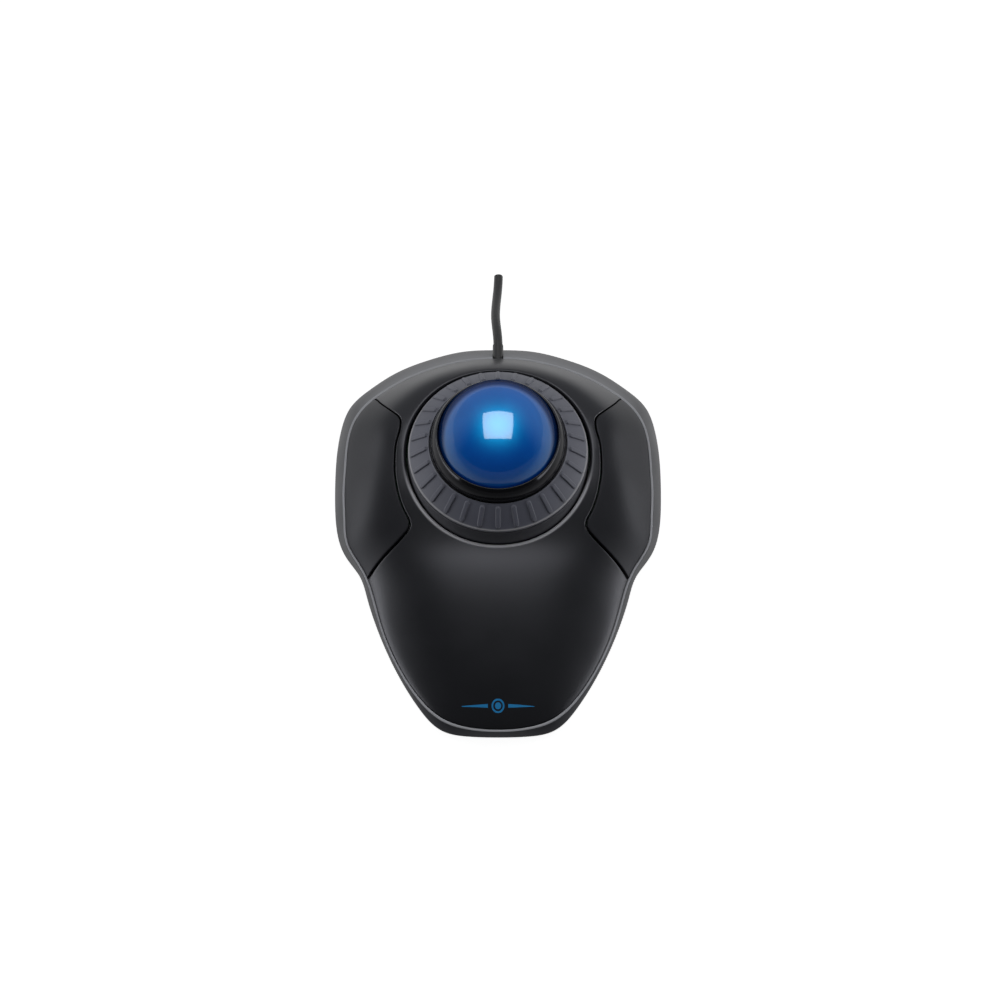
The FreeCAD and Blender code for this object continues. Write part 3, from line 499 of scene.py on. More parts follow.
def gap_curve(offset):
    """Middle of the key gap moved sideways, less x for a positive offset; wider at the front."""
    points = []
    for i, (x, y) in enumerate(KEY_GAP):
        before, after = KEY_GAP[max(i - 1, 0)], KEY_GAP[min(i + 1, len(KEY_GAP) - 1)]
        along_x, along_y = after[0] - before[0], after[1] - before[1]
        length = math.hypot(along_x, along_y)
        shift = offset * (1.0 + 0.6 * float(step((-20 - y) / 8)))
        points.append((x + shift * along_y / length, y - shift * along_x / length))
    points = np.array(points, float)
    run = np.r_[0, np.cumsum(np.hypot(*np.diff(points, axis=0).T))]
    at = np.linspace(0, run[-1], int(run[-1] / 0.25) + 1)
    return np.stack([evaluate(spline(run, points[:, k], clamped=False), at)
                     for k in (0, 1)], -1)


def clipped_gap(offset):
    """Part of the gap curve inside the cover outline, and the plan angles of its two ends."""
    curve = gap_curve(offset)
    angle = np.degrees(np.arctan2(curve[:, 1] - PLAN_Y, curve[:, 0]))
    beyond = np.hypot(curve[:, 0], curve[:, 1] - PLAN_Y) - evaluate(SHELL_PLAN, angle)
    within = np.where(beyond < 0)[0]
    first, last = within[0], within[-1]

    def crossing(a, b):
        return curve[a] + (curve[b] - curve[a]) * (beyond[a] / (beyond[a] - beyond[b]))

    ends = crossing(first - 1, first), crossing(last, last + 1)
    angles = [math.degrees(math.atan2(end[1] - PLAN_Y, end[0])) for end in ends]
    return np.vstack([ends[0], curve[first:last + 1], ends[1]]), *angles


def outline(start, end):
    count = max(int(abs(end - start) / 0.5), 2)
    angles = np.linspace(start, end, count + 1)
    return polar(angles, evaluate(SHELL_PLAN, angles))


def shell_loop():
    edge, rear, front = clipped_gap(KEY_GAP_HALF)
    right = np.vstack([outline(90, rear)[:-1], edge[:-1], outline(front, -90)])
    return np.vstack([right[:-1], mirrored(right)[::-1][:-1]])


def key_loop():
    edge, rear, front = clipped_gap(-KEY_GAP_HALF)
    return np.vstack([outline(rear, front)[:-1], edge[::-1][:-1]])


def opening_loop():
    turns = np.radians(np.arange(0, 360, 1.0))
    return np.stack([OPENING_RADIUS * np.cos(turns), OPENING_RADIUS * np.sin(turns)], 1)


def even_underside(x, y, top):
    """The top surface lowered by the wall thickness, square to its slope."""
    reach = 0.05
    slope_x = (top_z(x + reach, y) - top_z(x - reach, y)) / (2 * reach)
    slope_y = (top_z(x, y + reach) - top_z(x, y - reach)) / (2 * reach)
    return top - SHELL_THICKNESS * np.sqrt(1 + slope_x * slope_x + slope_y * slope_y)


def under_shell(x, y, top):
    z = np.maximum(even_underside(x, y, top), seat_z(y) + 0.03)
    at_grommet = (np.abs(x) < GROMMET_HALF) & (y > GROMMET_Y)
    return np.where(at_grommet, np.maximum(z, CABLE_Z + GROMMET_TOP), z)


def under_key(x, y, top):
    return np.maximum(even_underside(x, y, top), seat_z(y) + KEY_SKIRT)


def register(piece, body, node=None):
    """Parent the piece to its body's empty, and hide the CAD node it stands for if one is given.
    """
    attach(piece, body)
    if node:
        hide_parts(node)


KEY_LOOP = key_loop()
top_shell = cover("upper_shell", [shell_loop(), opening_loop()],
                  [GAP_ROUNDING, OPENING_ROUNDING], under_shell)
right_key = cover("right_key", [KEY_LOOP], [GAP_ROUNDING], under_key)
left_key = cover("left_key", [mirrored(KEY_LOOP)], [GAP_ROUNDING], under_key)
register(top_shell, "base", "top_shell")
register(right_key, "right_button", "right_button")
register(left_key, "left_button", "left_button")

# ------------------------------------------------------------------ lower shell
WALL_STATIONS = 480
RIM_OUTER_ROUNDING = 0.30
CUT_Z = 0.2                            # the underside cuts start below the base
FOOT_CUT_RADIUS, FOOT_CUT_TOP = 6.1, 1.6
FOOT_PLACES = (40, 30), (-40, 30), (0, -80), (46, -8), (-46, -8)
# Stepped round holes: places, top z
HOLE_SETS = (((30, 32.5), (-30, 32.5)), 5.2), (((23, -70), (-23, -70)), 3.2)
LABEL_HALF, LABEL_FRONT, LABEL_REAR, LABEL_TOP = 26.1, -52.1, -27.9, 1.5
NOTCH_RADIUS, NOTCH_TOP, NOTCH_Y = 2.0, 16.0, (40.0, 70.0)


def shell_body():
    """The walls as rings, from the inside floor over the rim and down to the underside."""
    turn = 90.0 - 360.0 * np.arange(WALL_STATIONS) / WALL_STATIONS
    angle = np.where(turn >= -90, turn, -180 - turn)
    side = np.where(turn > -90, 1.0, -1.0)
    cover_radius, lean = evaluate(SHELL_PLAN, angle), slant(angle, SHELL_PLAN)
    edge_y = PLAN_Y + (cover_radius + RIM_LEDGE) * np.sin(np.radians(angle))
    rim, seat = rim_z(edge_y), seat_z(edge_y)
    flat = np.ones(WALL_STATIONS)
    cavity = wall_radius(angle, FLOOR_Z, inner=True)
    rings = [
        (cavity - 0.6, FLOOR_Z * flat),
        (cavity, (FLOOR_Z + .6) * flat),
        (cover_radius - 2.1 * lean, seat - 0.25),
        (cover_radius - 2.1 * lean, seat),
        (cover_radius + 0.12 * lean, seat),
        (cover_radius + 0.12 * lean, rim - 0.12),
        (cover_radius + 0.14 * lean, rim - 0.04),
        (cover_radius + 0.19 * lean, rim)]
    for degrees in (90, 70, 50, 30, 10):
        across, up = math.cos(math.radians(degrees)), math.sin(math.radians(degrees))
        z = rim - RIM_OUTER_ROUNDING * (1 - up)
        inset = RIM_OUTER_ROUNDING * (1 - across) * lean * 0.9
        rings.append((wall_radius(angle, z) - inset, z))
    for k in range(15):
        z = (rim - RIM_OUTER_ROUNDING) * (1 - k / 14) + 2.7 * k / 14
        rings.append((wall_radius(angle, z), z))
    foot = wall_radius(angle, WALL_FOOT_Z)
    for degrees in (20, 40, 60, 80, 90):
        across, down = math.cos(math.radians(degrees)), math.sin(math.radians(degrees))
        rings.append((foot - FOOT_ROUNDING * (1 - across),
                      WALL_FOOT_Z - FOOT_ROUNDING * down * flat))
    verts = []
    for radius, z in rings:
        points = polar(angle, radius)
        verts.append(np.c_[points[:, 0] * side, points[:, 1], z])
    count = WALL_STATIONS
    faces = []
    for i in range(len(rings) - 1):
        for j in range(count):
            k = (j + 1) % count
            faces.append((i * count + j, i * count + k, (i + 1) * count + k, (i + 1) * count + j))
    faces.append(tuple(range(count)))
    faces.append(tuple(range((len(rings) - 1) * count, len(rings) * count))[::-1])
    return outward(link("lower_shell", np.vstack(verts), faces))


def round_cut(profile, x, y, segments):
    piece = lathe("cut", profile, segments)
    piece.data.transform(Matrix.Translation((x / 1000, y / 1000, 0)))
    return piece


def prism_cut(near, far):
    """Solid between two matching polygons."""
    count = len(near)
    faces = [(i, (i + 1) % count, count + (i + 1) % count, count + i) for i in range(count)]
    faces += [tuple(range(count))[::-1], tuple(range(count, 2 * count))]
    return outward(link("cut", near + far, faces))


def shell_cuts():
    """Foot recesses, stepped holes, the centre hole, the label recess and the cable notch."""
    foot = [(0, CUT_Z), (FOOT_CUT_RADIUS, CUT_Z), (FOOT_CUT_RADIUS, FOOT_CUT_TOP),
            (0, FOOT_CUT_TOP)]
    cuts = [round_cut(foot, x, y, 96) for x, y in FOOT_PLACES]
    for places, top in HOLE_SETS:
        hole = [(0, CUT_Z), (3.3, CUT_Z), (3.3, 1.25), (2.95, 1.6), (2.95, top), (0, top)]
        cuts += [round_cut(hole, x, y, 64) for x, y in places]
    centre = [(0, CUT_Z), (6.3, CUT_Z), (6.1, 1.25), (5.5, 1.9), (5.5, 5.0), (0, 5.0)]
    cuts.append(round_cut(centre, 0, 0, 128))
    label = rounded([(-LABEL_HALF, LABEL_FRONT), (LABEL_HALF, LABEL_FRONT),
                     (LABEL_HALF, LABEL_REAR), (-LABEL_HALF, LABEL_REAR)], [1.2] * 4, 6)
    cuts.append(prism_cut([(x, y, CUT_Z) for x, y in label],
                          [(x, y, LABEL_TOP) for x, y in label]))
    notch = [(NOTCH_RADIUS * math.cos(turn), CABLE_Z + NOTCH_RADIUS * math.sin(turn))
             for turn in np.linspace(math.pi, 2 * math.pi, 25)]
    notch += [(NOTCH_RADIUS, NOTCH_TOP), (-NOTCH_RADIUS, NOTCH_TOP)]
    cuts.append(prism_cut(*([(x, y, z) for x, z in notch] for y in NOTCH_Y)))
    return cuts


def lower_shell():
    piece = shell_body()
    cuts = shell_cuts()
    cut_mesh = bpy.data.meshes.new("cuts")
    work = bmesh.new()
    for cut in cuts:
        work.from_mesh(cut.data)
    work.to_mesh(cut_mesh)
    work.free()
    cutter = bpy.data.objects.new("cuts", cut_mesh)
    bpy.context.collection.objects.link(cutter)
    boolean = piece.modifiers.new("cut", "BOOLEAN")
    boolean.operation, boolean.solver, boolean.object = "DIFFERENCE", "EXACT", cutter
    bpy.context.view_layer.update()
    graph = bpy.context.evaluated_depsgraph_get()
    result = bpy.data.meshes.new_from_object(piece.evaluated_get(graph))
    piece.modifiers.clear()
    piece.data = result
    for cut in cuts + [cutter]:
        bpy.data.objects.remove(cut, do_unlink=True)
    with editing(piece.data) as work:
        bmesh.ops.remove_doubles(work, verts=work.verts, dist=2e-6)
        bmesh.ops.dissolve_degenerate(work, edges=work.edges, dist=1e-6)
    return sharpen(piece, 32)


base = lower_shell()
register(base, "base", "base_shell")

# ------------------------------------------------------------------ ball, bezel, collar
SOCKET_RADIUS = BALL_RADIUS + 0.25     # the bezel's inner face follows the ball


def socket_point(z):
    return math.sqrt(SOCKET_RADIUS ** 2 - (z - BALL_Z) ** 2), z


def bezel_profile():
    lip = (20.38, 42.58)
    points = arc(socket_point(36.42), socket_point(39.5), socket_point(42.25), 16)
    points += arc(socket_point(42.25), (20.0, 42.6), lip, 6)[1:]
    points += arc(lip, (21.8, 40.3), (22.5, 37.4), 20)[1:]
    return points + [(22.5, 36.7), (22.42, 36.5), (22.2, 36.42), (22.0, 36.40), (22.0, 35.05),
                     (21.43, 35.05), (21.43, 36.42)]


# Section of the collar: radius, z, corner rounding
COLLAR = [
    (22.06, 19.05, 0.1), (30.98, 19.05, 0.15), (31.0, 22.8, 1.5), (30.4, 30.2, 0.35),
    (29.0, 30.2, 0.2), (29.0, 20.5, 0.3), (22.06, 20.5, 0.1)]

ball = lathe("control_ball", [
    (BALL_RADIUS * math.cos(turn), BALL_Z + BALL_RADIUS * math.sin(turn))
    for turn in np.linspace(-math.pi / 2, math.pi / 2, 129)])
register(ball, "ball", "ball")

bezel = lathe("snap_bezel", bezel_profile(), crease=45)
register(bezel, "base", "ball_bezel")

collar = lathe("ring_wall", rounded([row[:2] for row in COLLAR], [row[2] for row in COLLAR], 5),
               crease=60)
register(collar, "base", "ring_collar")

# ------------------------------------------------------------------ ribbed finger ring
RING_INNER, RING_OUTER = 22.9, 30.2
RING_INNER_Z, RING_OUTER_Z = 37.3, 31.4
RIBS = 30
RIB_HALF_WIDTH, RIB_HEIGHT = 0.8, 0.6
RIB_START, RIB_END = 23.75, 29.45      # radii
RIB_EDGE = 0.34                        # width of the rib's rounded shoulder
FILLET_WIDTH, FILLET_HEIGHT = 0.16, 0.035
FAN_START = 1.12                       # beyond this the columns spread to the sector edge
RING_SLOPE = (RING_INNER_Z - RING_OUTER_Z) / (RING_OUTER - RING_INNER)
SLOPE_LENGTH = math.hypot(1, RING_SLOPE)


def ring_top(radius):
    share = (radius - RING_INNER) / (RING_OUTER - RING_INNER)
    return RING_INNER_Z + (RING_OUTER_Z - RING_INNER_Z) * share + 0.3 * 4 * share * (1 - share)


def ring_underside(radius):
    return 35.9 - (radius - 22.7) * RING_SLOPE


def rib_height(radius, y):
    """Height of the round-ended rib at a radius and a distance y from its centre line."""
    half_length = (RIB_END - RIB_START) / 2 * SLOPE_LENGTH - RIB_HALF_WIDTH
    along = abs((radius - 0.5 * (RIB_START + RIB_END)) * SLOPE_LENGTH)
    depth = RIB_HALF_WIDTH - math.hypot(max(along - half_length, 0), y)
    if depth <= -FILLET_WIDTH:
        return 0.0
    if depth < 0:
        return FILLET_HEIGHT * (1 + depth / FILLET_WIDTH) ** 2
    if depth < RIB_EDGE:
        rise = math.sqrt(max(1 - (1 - depth / RIB_EDGE) ** 2.4, 0))
        return FILLET_HEIGHT + (RIB_HEIGHT - FILLET_HEIGHT) * rise
    return RIB_HEIGHT


def ring_profile():
    """Section as (radius, z, whether the rib rises from it)."""
    points = []
    for degrees in (0, 22, 45, 68, 90):
        across, up = math.cos(math.radians(degrees)), math.sin(math.radians(degrees))
        points.append((RING_INNER + 0.28 * (1 - across), RING_INNER_Z - 0.28 * (1 - up), False))
    for radius in np.linspace(RING_INNER + 0.42, RING_OUTER - 0.3, 46):
        points.append((float(radius), float(ring_top(radius)), True))
    edge_z = ring_top(RING_OUTER - 0.3)
    for degrees in (60, 35, 12):
        across, up = math.cos(math.radians(degrees)), math.sin(math.radians(degrees))
        points.append((RING_OUTER - 0.3 + 0.3 * across, edge_z - 0.42 + 0.42 * up, True))
    lower = [(RING_OUTER, edge_z - 0.55), (RING_OUTER, 30.72), (RING_OUTER - .05, 30.57),
             (RING_OUTER - .2, 30.5), (28.97, 30.5), (28.95, ring_underside(28.95) + .03),
             (22.98, ring_underside(22.98) + .03), (RING_INNER, ring_underside(22.9) + .08)]
    return points + [(radius, z, False) for radius, z in lower]


def ring_columns():
    """Columns of one sector: side, distance from the rib's centre line, share of the fan."""
    lateral = (0, .3, .5, .6, .68, .74, .79, .84, .90, .98, 1.12)
    half = [(value * RIB_HALF_WIDTH / 0.85, 0) for value in lateral]
    half += [(FAN_START, share) for share in (0.18, 0.45, 0.72)]
    return ([(-1, *column) for column in half[:0:-1]] + [(1, *column) for column in half]
            + [(1, FAN_START, 1.0)])


def ribbed_ring():
    profile, columns = ring_profile(), ring_columns()
    verts = []
    for i in range(RIBS):
        middle = 2 * math.pi * (i + .5) / RIBS
        for side, start, share in columns:
            for radius, z, ribbed in profile:
                edge = radius * math.tan(math.pi / RIBS)
                y = side * (start + (edge - start) * share)
                turn = middle + math.atan2(y, radius)
                height = rib_height(radius, y) if ribbed else 0.0
                # the rib rises square to the ring's slope; elsewhere the radius is kept, so
                # that the edge of a sector meets its neighbour
                reach = radius + height * (RING_SLOPE / SLOPE_LENGTH)
                verts.append((reach * math.cos(turn), reach * math.sin(turn),
                              z + height * (1 / SLOPE_LENGTH)))
    rows, total = len(profile), RIBS * len(columns)
    faces = []
    for column in range(total):
        here, after = column * rows, (column + 1) % total * rows
        for j in range(rows):
            k = (j + 1) % rows
            faces.append((here + j, after + j, after + k, here + k))
    return sharpen(outward(link("ribbed_ring", verts, faces)), 55)


ring = ribbed_ring()
register(ring, "scroll_ring", "scroll_ring_grip")

# ------------------------------------------------------------------ printed palm mark
MARK_Y = -82.4
MARK_SEGMENTS, BAR_STEPS = 48, 14
DOT_RADIUS, MARK_RING = 1.0, (1.55, 2.1)
BAR_ENDS, BAR_HALF_WIDTHS = (3.3, 11.8), (0.55, 0.10)
MARK_ABOVE, MARK_BELOW = 0.035, 0.1    # from the shell's top surface


def palm_mark_mesh():
    """A dot in a ring, with a tapering bar on each side, laid on the upper shell."""
    verts, faces = [], []
    count = MARK_SEGMENTS

    def circle(radius):
        turns = [2 * math.pi * k / count for k in range(count)]
        return [(radius * math.cos(turn), MARK_Y + radius * math.sin(turn)) for turn in turns]

    verts += [(0, MARK_Y)] + circle(DOT_RADIUS)
    faces += [(0, 1 + k, 1 + (k + 1) % count) for k in range(count)]
    start = len(verts)
    verts += circle(MARK_RING[0]) + circle(MARK_RING[1])
    for k in range(count):
        here, after = start + k, start + (k + 1) % count
        faces.append((here, after, count + after, count + here))
    for side in (1, -1):
        start = len(verts)
        first, last = side * BAR_ENDS[0], side * BAR_ENDS[1]
        for k in range(BAR_STEPS + 1):
            share = k / BAR_STEPS
            x = first + (last - first) * share
            half = BAR_HALF_WIDTHS[0] + (BAR_HALF_WIDTHS[1] - BAR_HALF_WIDTHS[0]) * share
            verts += [(x, MARK_Y - half), (x, MARK_Y + half)]
        for k in range(start, start + 2 * BAR_STEPS, 2):
            faces.append((k, k + 2, k + 3, k + 1))
    plan = np.array(verts)
    z = top_z(plan[:, 0], plan[:, 1])
    total = len(plan)
    solid = faces + [tuple(i + total for i in face[::-1]) for face in faces]
    solid += [(b, a, a + total, b + total) for a, b in border(faces)]
    points = np.vstack([np.c_[plan, z + MARK_ABOVE], np.c_[plan, z - MARK_BELOW]])
    return sharpen(outward(link("palm_mark", points, solid)), 40)


palm_mark = palm_mark_mesh()
register(palm_mark, "base")


# ------------------------------------------------------------------ shader helpers
class Graph:
    """Short calls for building a node tree; they return output sockets."""

    def __init__(self, tree):
        self.tree = tree

    def node(self, kind, **settings):
        made = self.tree.nodes.new(kind)
        for name, value in settings.items():
            setattr(made, name, value)
        return made

    def fill(self, socket, value):
        """Link a socket, or set its value; colours are opaque."""
        if isinstance(value, bpy.types.NodeSocket):
            self.tree.links.new(value, socket)
        elif socket.type == "RGBA":
            socket.default_value = (*value[:3], 1)
        else:
            socket.default_value = value

    def feed(self, node, **values):
        """Fill inputs by name, with underscores for spaces."""
        for name, value in values.items():
            self.fill(node.inputs[name.replace("_", " ")], value)

    def math(self, operation, *values):
        node = self.node("ShaderNodeMath", operation=operation)
        for socket, value in zip(node.inputs, values):
            self.fill(socket, value)
        return node.outputs[0]

    def map_range(self, source, span=(0.0, 1.0), to=(0.0, 1.0), smooth=False):
        kind = "SMOOTHSTEP" if smooth else "LINEAR"
        node = self.node("ShaderNodeMapRange", interpolation_type=kind)
        for i, value in enumerate((source, *span, *to)):
            self.fill(node.inputs[i], value)
        return node.outputs[0]

    def mix_color(self, factor, first, second, blend="MIX"):
        node = self.node("ShaderNodeMix", data_type="RGBA", blend_type=blend)
        for i, value in ((0, factor), (6, first), (7, second)):
            self.fill(node.inputs[i], value)
        return node.outputs[2]

    def by_ray(self, reflected, direct):
        """One value for the camera's own rays, another for all others."""
        path = self.node("ShaderNodeLightPath")
        node = self.node("ShaderNodeMix", data_type="FLOAT")
        for i, value in ((0, path.outputs["Is Camera Ray"]), (2, reflected), (3, direct)):
            self.fill(node.inputs[i], value)
        return node.outputs[0]

    def split(self, vector):
        node = self.node("ShaderNodeSeparateXYZ")
        self.fill(node.inputs[0], vector)
        return node.outputs

    def ramp(self, source, stops, interpolation="LINEAR"):
        node = self.node("ShaderNodeValToRGB")
        node.color_ramp.interpolation = interpolation
        elements = node.color_ramp.elements
        while len(elements) < len(stops):
            elements.new(0.5)
        for element, (position, color) in zip(elements, stops):
            element.position = position
            element.color = (*color, 1)
        self.fill(node.inputs[0], source)
        return node.outputs[0]

    def gray_ramp(self, source, stops):
        return self.ramp(source, [(position, (value,) * 3) for position, value in stops])


class Surface(Graph):
    """A new material with a principled shader."""

    def __init__(self, name):
        self.material = bpy.data.materials.new(name)
        self.material.use_nodes = True
        super().__init__(self.material.node_tree)
        self.tree.nodes.clear()
        self.output = self.node("ShaderNodeOutputMaterial")
        self.shader = self.node("ShaderNodeBsdfPrincipled")
        self.fill(self.output.inputs[0], self.shader.outputs[0])
        self.place = self.node("ShaderNodeTexCoord").outputs["Object"]

    def set(self, **values):
        self.feed(self.shader, **values)

    def noise(self, scale, detail, roughness=0.55, distortion=0.0, vector=None):
        node = self.node("ShaderNodeTexNoise")
        self.feed(node, Scale=scale, Detail=detail, Roughness=roughness, Distortion=distortion,
                  Vector=vector or self.place)
        return node.outputs[0]

    def bump(self, height, strength, distance):
        node = self.node("ShaderNodeBump")
        self.feed(node, Strength=strength, Distance=distance, Height=height)
        self.set(Normal=node.outputs[0])

    def drift(self, slow, dark, light):
        """Slow drift between two tones."""
        self.set(Base_Color=self.mix_color(self.map_range(slow, span=(0.3, 0.7)), dark, light))

    def tint(self, factor, color):
        """Lay a colour over the base colour."""
        below = self.shader.inputs["Base Color"].links[0].from_socket
        self.set(Base_Color=self.mix_color(factor, below, color))


# ------------------------------------------------------------------ materials
def plastic(name, dark, light, roughness, grain, bump, depth=4e-5, specular=0.5, metallic=0.0):
    """Moulded plastic: slow tone drift and a fine grain; the roughness follows both."""
    surface = Surface(name)
    slow = surface.noise(scale=35, detail=3)
    fine = surface.noise(scale=grain, detail=2, roughness=0.6)
    surface.drift(slow, dark, light)
    middle = (0.25, 0.75)
    surface.set(
        Roughness=surface.math("ADD", surface.map_range(slow, span=middle, to=roughness),
                               surface.map_range(fine, span=middle, to=(-0.03, 0.03))),
        Metallic=metallic, Specular_IOR_Level=specular, Specular_Tint=(0.90, 0.91, 1.0),
        Coat_Roughness=0.05)
    surface.bump(fine, bump, depth)
    return surface


def rubber(name, dark, light, roughness):
    surface = Surface(name)
    slow = surface.noise(scale=60, detail=3)
    fine = surface.noise(scale=3800, detail=2, roughness=0.7)
    surface.drift(slow, dark, light)
    spread = (roughness - 0.06, roughness + 0.06)
    surface.set(Roughness=surface.map_range(fine, span=(0.25, 0.75), to=spread),
                Sheen_Weight=0.25, Sheen_Roughness=0.5)
    surface.bump(fine, strength=0.16, distance=4e-5)
    return surface


def pearl_ball(name):
    """Deep blue body under a teal pearl layer and a clear coat; painted shade darkens the colour
    towards the silhouette.
    """
    surface = Surface(name)
    swirl = surface.noise(scale=26, detail=4, roughness=0.5, distortion=1.0)
    flake = surface.node("ShaderNodeTexVoronoi")
    surface.feed(flake, Scale=5200, Vector=surface.place)
    flake = flake.outputs["Distance"]
    weight = surface.node("ShaderNodeLayerWeight")
    surface.feed(weight, Blend=0.5)
    facing = weight.outputs["Facing"]
    # painted shade: the base colour is multiplied darker where the surface turns away from the
    # camera
    limb_shade = surface.gray_ramp(facing, [(0.0, 1), (0.50, 0.92), (0.60, 0.36), (0.78, 0.14)])
    coat = surface.gray_ramp(facing, [(0.0, 1), (0.52, 0.95), (0.62, 0.24), (0.82, 0.05)])
    roughness = surface.map_range(flake, to=(0.40, 0.50))
    body, pearl = surface.shader, surface.node("ShaderNodeBsdfPrincipled")
    body_tones = (0.000, 0.022, 0.24), (0.001, 0.032, 0.32)
    pearl_tones = (0.004, 0.25, 0.42), (0.008, 0.33, 0.52)
    for shader, (dark, light) in ((body, body_tones), (pearl, pearl_tones)):
        tone = surface.ramp(swirl, [(0.3, dark), (0.7, light)])
        surface.feed(shader, Base_Color=surface.mix_color(1.0, tone, limb_shade, blend="MULTIPLY"),
                     Roughness=roughness, Coat_Weight=coat, Coat_Roughness=0.07, Coat_IOR=1.6)
    surface.bump(flake, strength=0.05, distance=2e-5)
    surface.feed(body, Specular_IOR_Level=0.0)
    surface.feed(pearl, Metallic=1.0, Specular_Tint=(0.04, 0.16, 0.22))
    mixed = surface.node("ShaderNodeMixShader")
    pearl_share = 0.42
    for i, value in enumerate((pearl_share, body.outputs[0], pearl.outputs[0])):
        surface.fill(mixed.inputs[i], value)
    surface.fill(surface.output.inputs[0], mixed.outputs[0])
    return surface


def metal(name, color, roughness):
    """Metal with a fine streaked texture."""
    surface = Surface(name)
    mapping = surface.node("ShaderNodeMapping")
    surface.feed(mapping, Vector=surface.place, Scale=(1, 12, 1))
    streak = surface.noise(scale=900, detail=2, roughness=0.5, vector=mapping.outputs[0])
    dark = tuple(channel * .75 for channel in color)
    surface.set(
        Base_Color=surface.ramp(streak, [(0.3, dark), (0.7, color)]), Metallic=1.0,
        Roughness=surface.map_range(streak, span=(0.3, 0.7),
                                    to=(roughness - .07, roughness + .1)))
    surface.bump(streak, strength=0.08, distance=1e-5)
    return surface


def clear(name, color):
    surface = Surface(name)
    cloud = surface.noise(scale=400, detail=2)
    dark = tuple(channel * .9 for channel in color)
    surface.set(Base_Color=surface.ramp(cloud, [(0.3, dark), (0.7, color)]),
                Roughness=surface.map_range(cloud, to=(0.03, 0.08)),
                Transmission_Weight=0.9, IOR=1.5)
    return surface


def circuit_board(name):
    surface = Surface(name)
    cloud = surface.noise(scale=90, detail=3)
    brick = surface.node("ShaderNodeTexBrick")
    surface.feed(brick, Scale=260, Mortar_Size=0.03, Color1=(0.005, 0.050, 0.024),
                 Color2=(0.007, 0.065, 0.030), Mortar=(0.014, 0.13, 0.058),
                 Vector=surface.place)
    surface.set(Base_Color=brick.outputs["Color"],
                Roughness=surface.map_range(cloud, span=(0.3, 0.7), to=(0.25, 0.4)))
    surface.bump(brick.outputs["Fac"], strength=0.2, distance=3e-5)
    return surface


def wire_insulation(name):
    """Red, green, white and black bands along x + z."""
    surface = Surface(name)
    place = surface.split(surface.place)
    across = surface.map_range(surface.math("ADD", place[0], place[2]), span=(-0.002, 0.012))
    bands = [(0.0, (0.45, 0.02, 0.02)), (0.3, (0.02, 0.25, 0.05)), (0.6, (0.7, 0.7, 0.68)),
             (0.85, (0.015, 0.015, 0.015))]
    cloud = surface.noise(scale=200, detail=2)
    surface.set(Base_Color=surface.ramp(across, bands, "CONSTANT"),
                Roughness=surface.map_range(cloud, to=(0.35, 0.5)))
    return surface


# Name: dark tone, light tone, roughness range, grain scale, bump strength
PLASTICS = {
    "shell_satin_black":
        ((0.013, 0.0136, 0.0160), (0.016, 0.0167, 0.0195), (0.30, 0.36), 2600, 0.10),
    "key_satin_black":
        ((0.016, 0.0166, 0.0196), (0.020, 0.0207, 0.0240), (0.40, 0.47), 2600, 0.12),
    "base_satin_black":
        ((0.014, 0.0147, 0.0178), (0.018, 0.0190, 0.0230), (0.34, 0.42), 2200, 0.12),
    "bezel_polished": ((0.006, 0.006, 0.007), (0.009, 0.009, 0.011), (0.12, 0.18), 700, 0.01),
    "moulded_black": ((0.018, 0.0185, 0.021), (0.024, 0.0245, 0.028), (0.40, 0.52), 1800, 0.1),
    "core_black": ((0.015, 0.015, 0.016), (0.022, 0.022, 0.024), (0.35, 0.45), 1800, 0.08),
    # a lighter copy of moulded_black: painted light on the collar wall, which sits in shade
    "ring_wall_black": ((0.052, 0.053, 0.060), (0.062, 0.063, 0.072), (0.45, 0.55), 1800, 0.1),
    "ceramic_white": ((0.80, 0.80, 0.77), (0.90, 0.90, 0.88), (0.08, 0.15), 500, 0.01),
    "washer_white": ((0.72, 0.72, 0.68), (0.82, 0.82, 0.78), (0.35, 0.5), 900, 0.05),
    "chip_epoxy": ((0.016, 0.016, 0.018), (0.026, 0.026, 0.028), (0.5, 0.6), 3000, 0.2),
    "switch_black": ((0.02, 0.02, 0.022), (0.03, 0.03, 0.032), (0.35, 0.5), 2000, 0.1),
    "switch_red": ((0.45, 0.03, 0.02), (0.6, 0.05, 0.03), (0.3, 0.42), 1500, 0.06),
    "connector_nylon": ((0.70, 0.67, 0.58), (0.80, 0.77, 0.68), (0.4, 0.52), 1400, 0.08),
    "ribbon_white": ((0.70, 0.70, 0.67), (0.82, 0.82, 0.80), (0.3, 0.4), 1200, 0.05),
    "capacitor_sleeve": ((0.012, 0.018, 0.06), (0.02, 0.028, 0.09), (0.25, 0.35), 1200, 0.04),
    "label_foil": ((0.42, 0.43, 0.45), (0.52, 0.53, 0.55), (0.32, 0.42), 1600, 0.06),
    "mark_ink": ((0.024, 0.22, 0.52), (0.032, 0.27, 0.60), (0.35, 0.45), 2400, 0.08),
}
PLASTIC_EXTRAS = {
    "key_satin_black": dict(specular=0.28),
    "bezel_polished": dict(depth=1e-5, specular=0.30),
    "ceramic_white": dict(depth=1e-5),
    "label_foil": dict(metallic=0.6),
    "mark_ink": dict(specular=0.2),
}
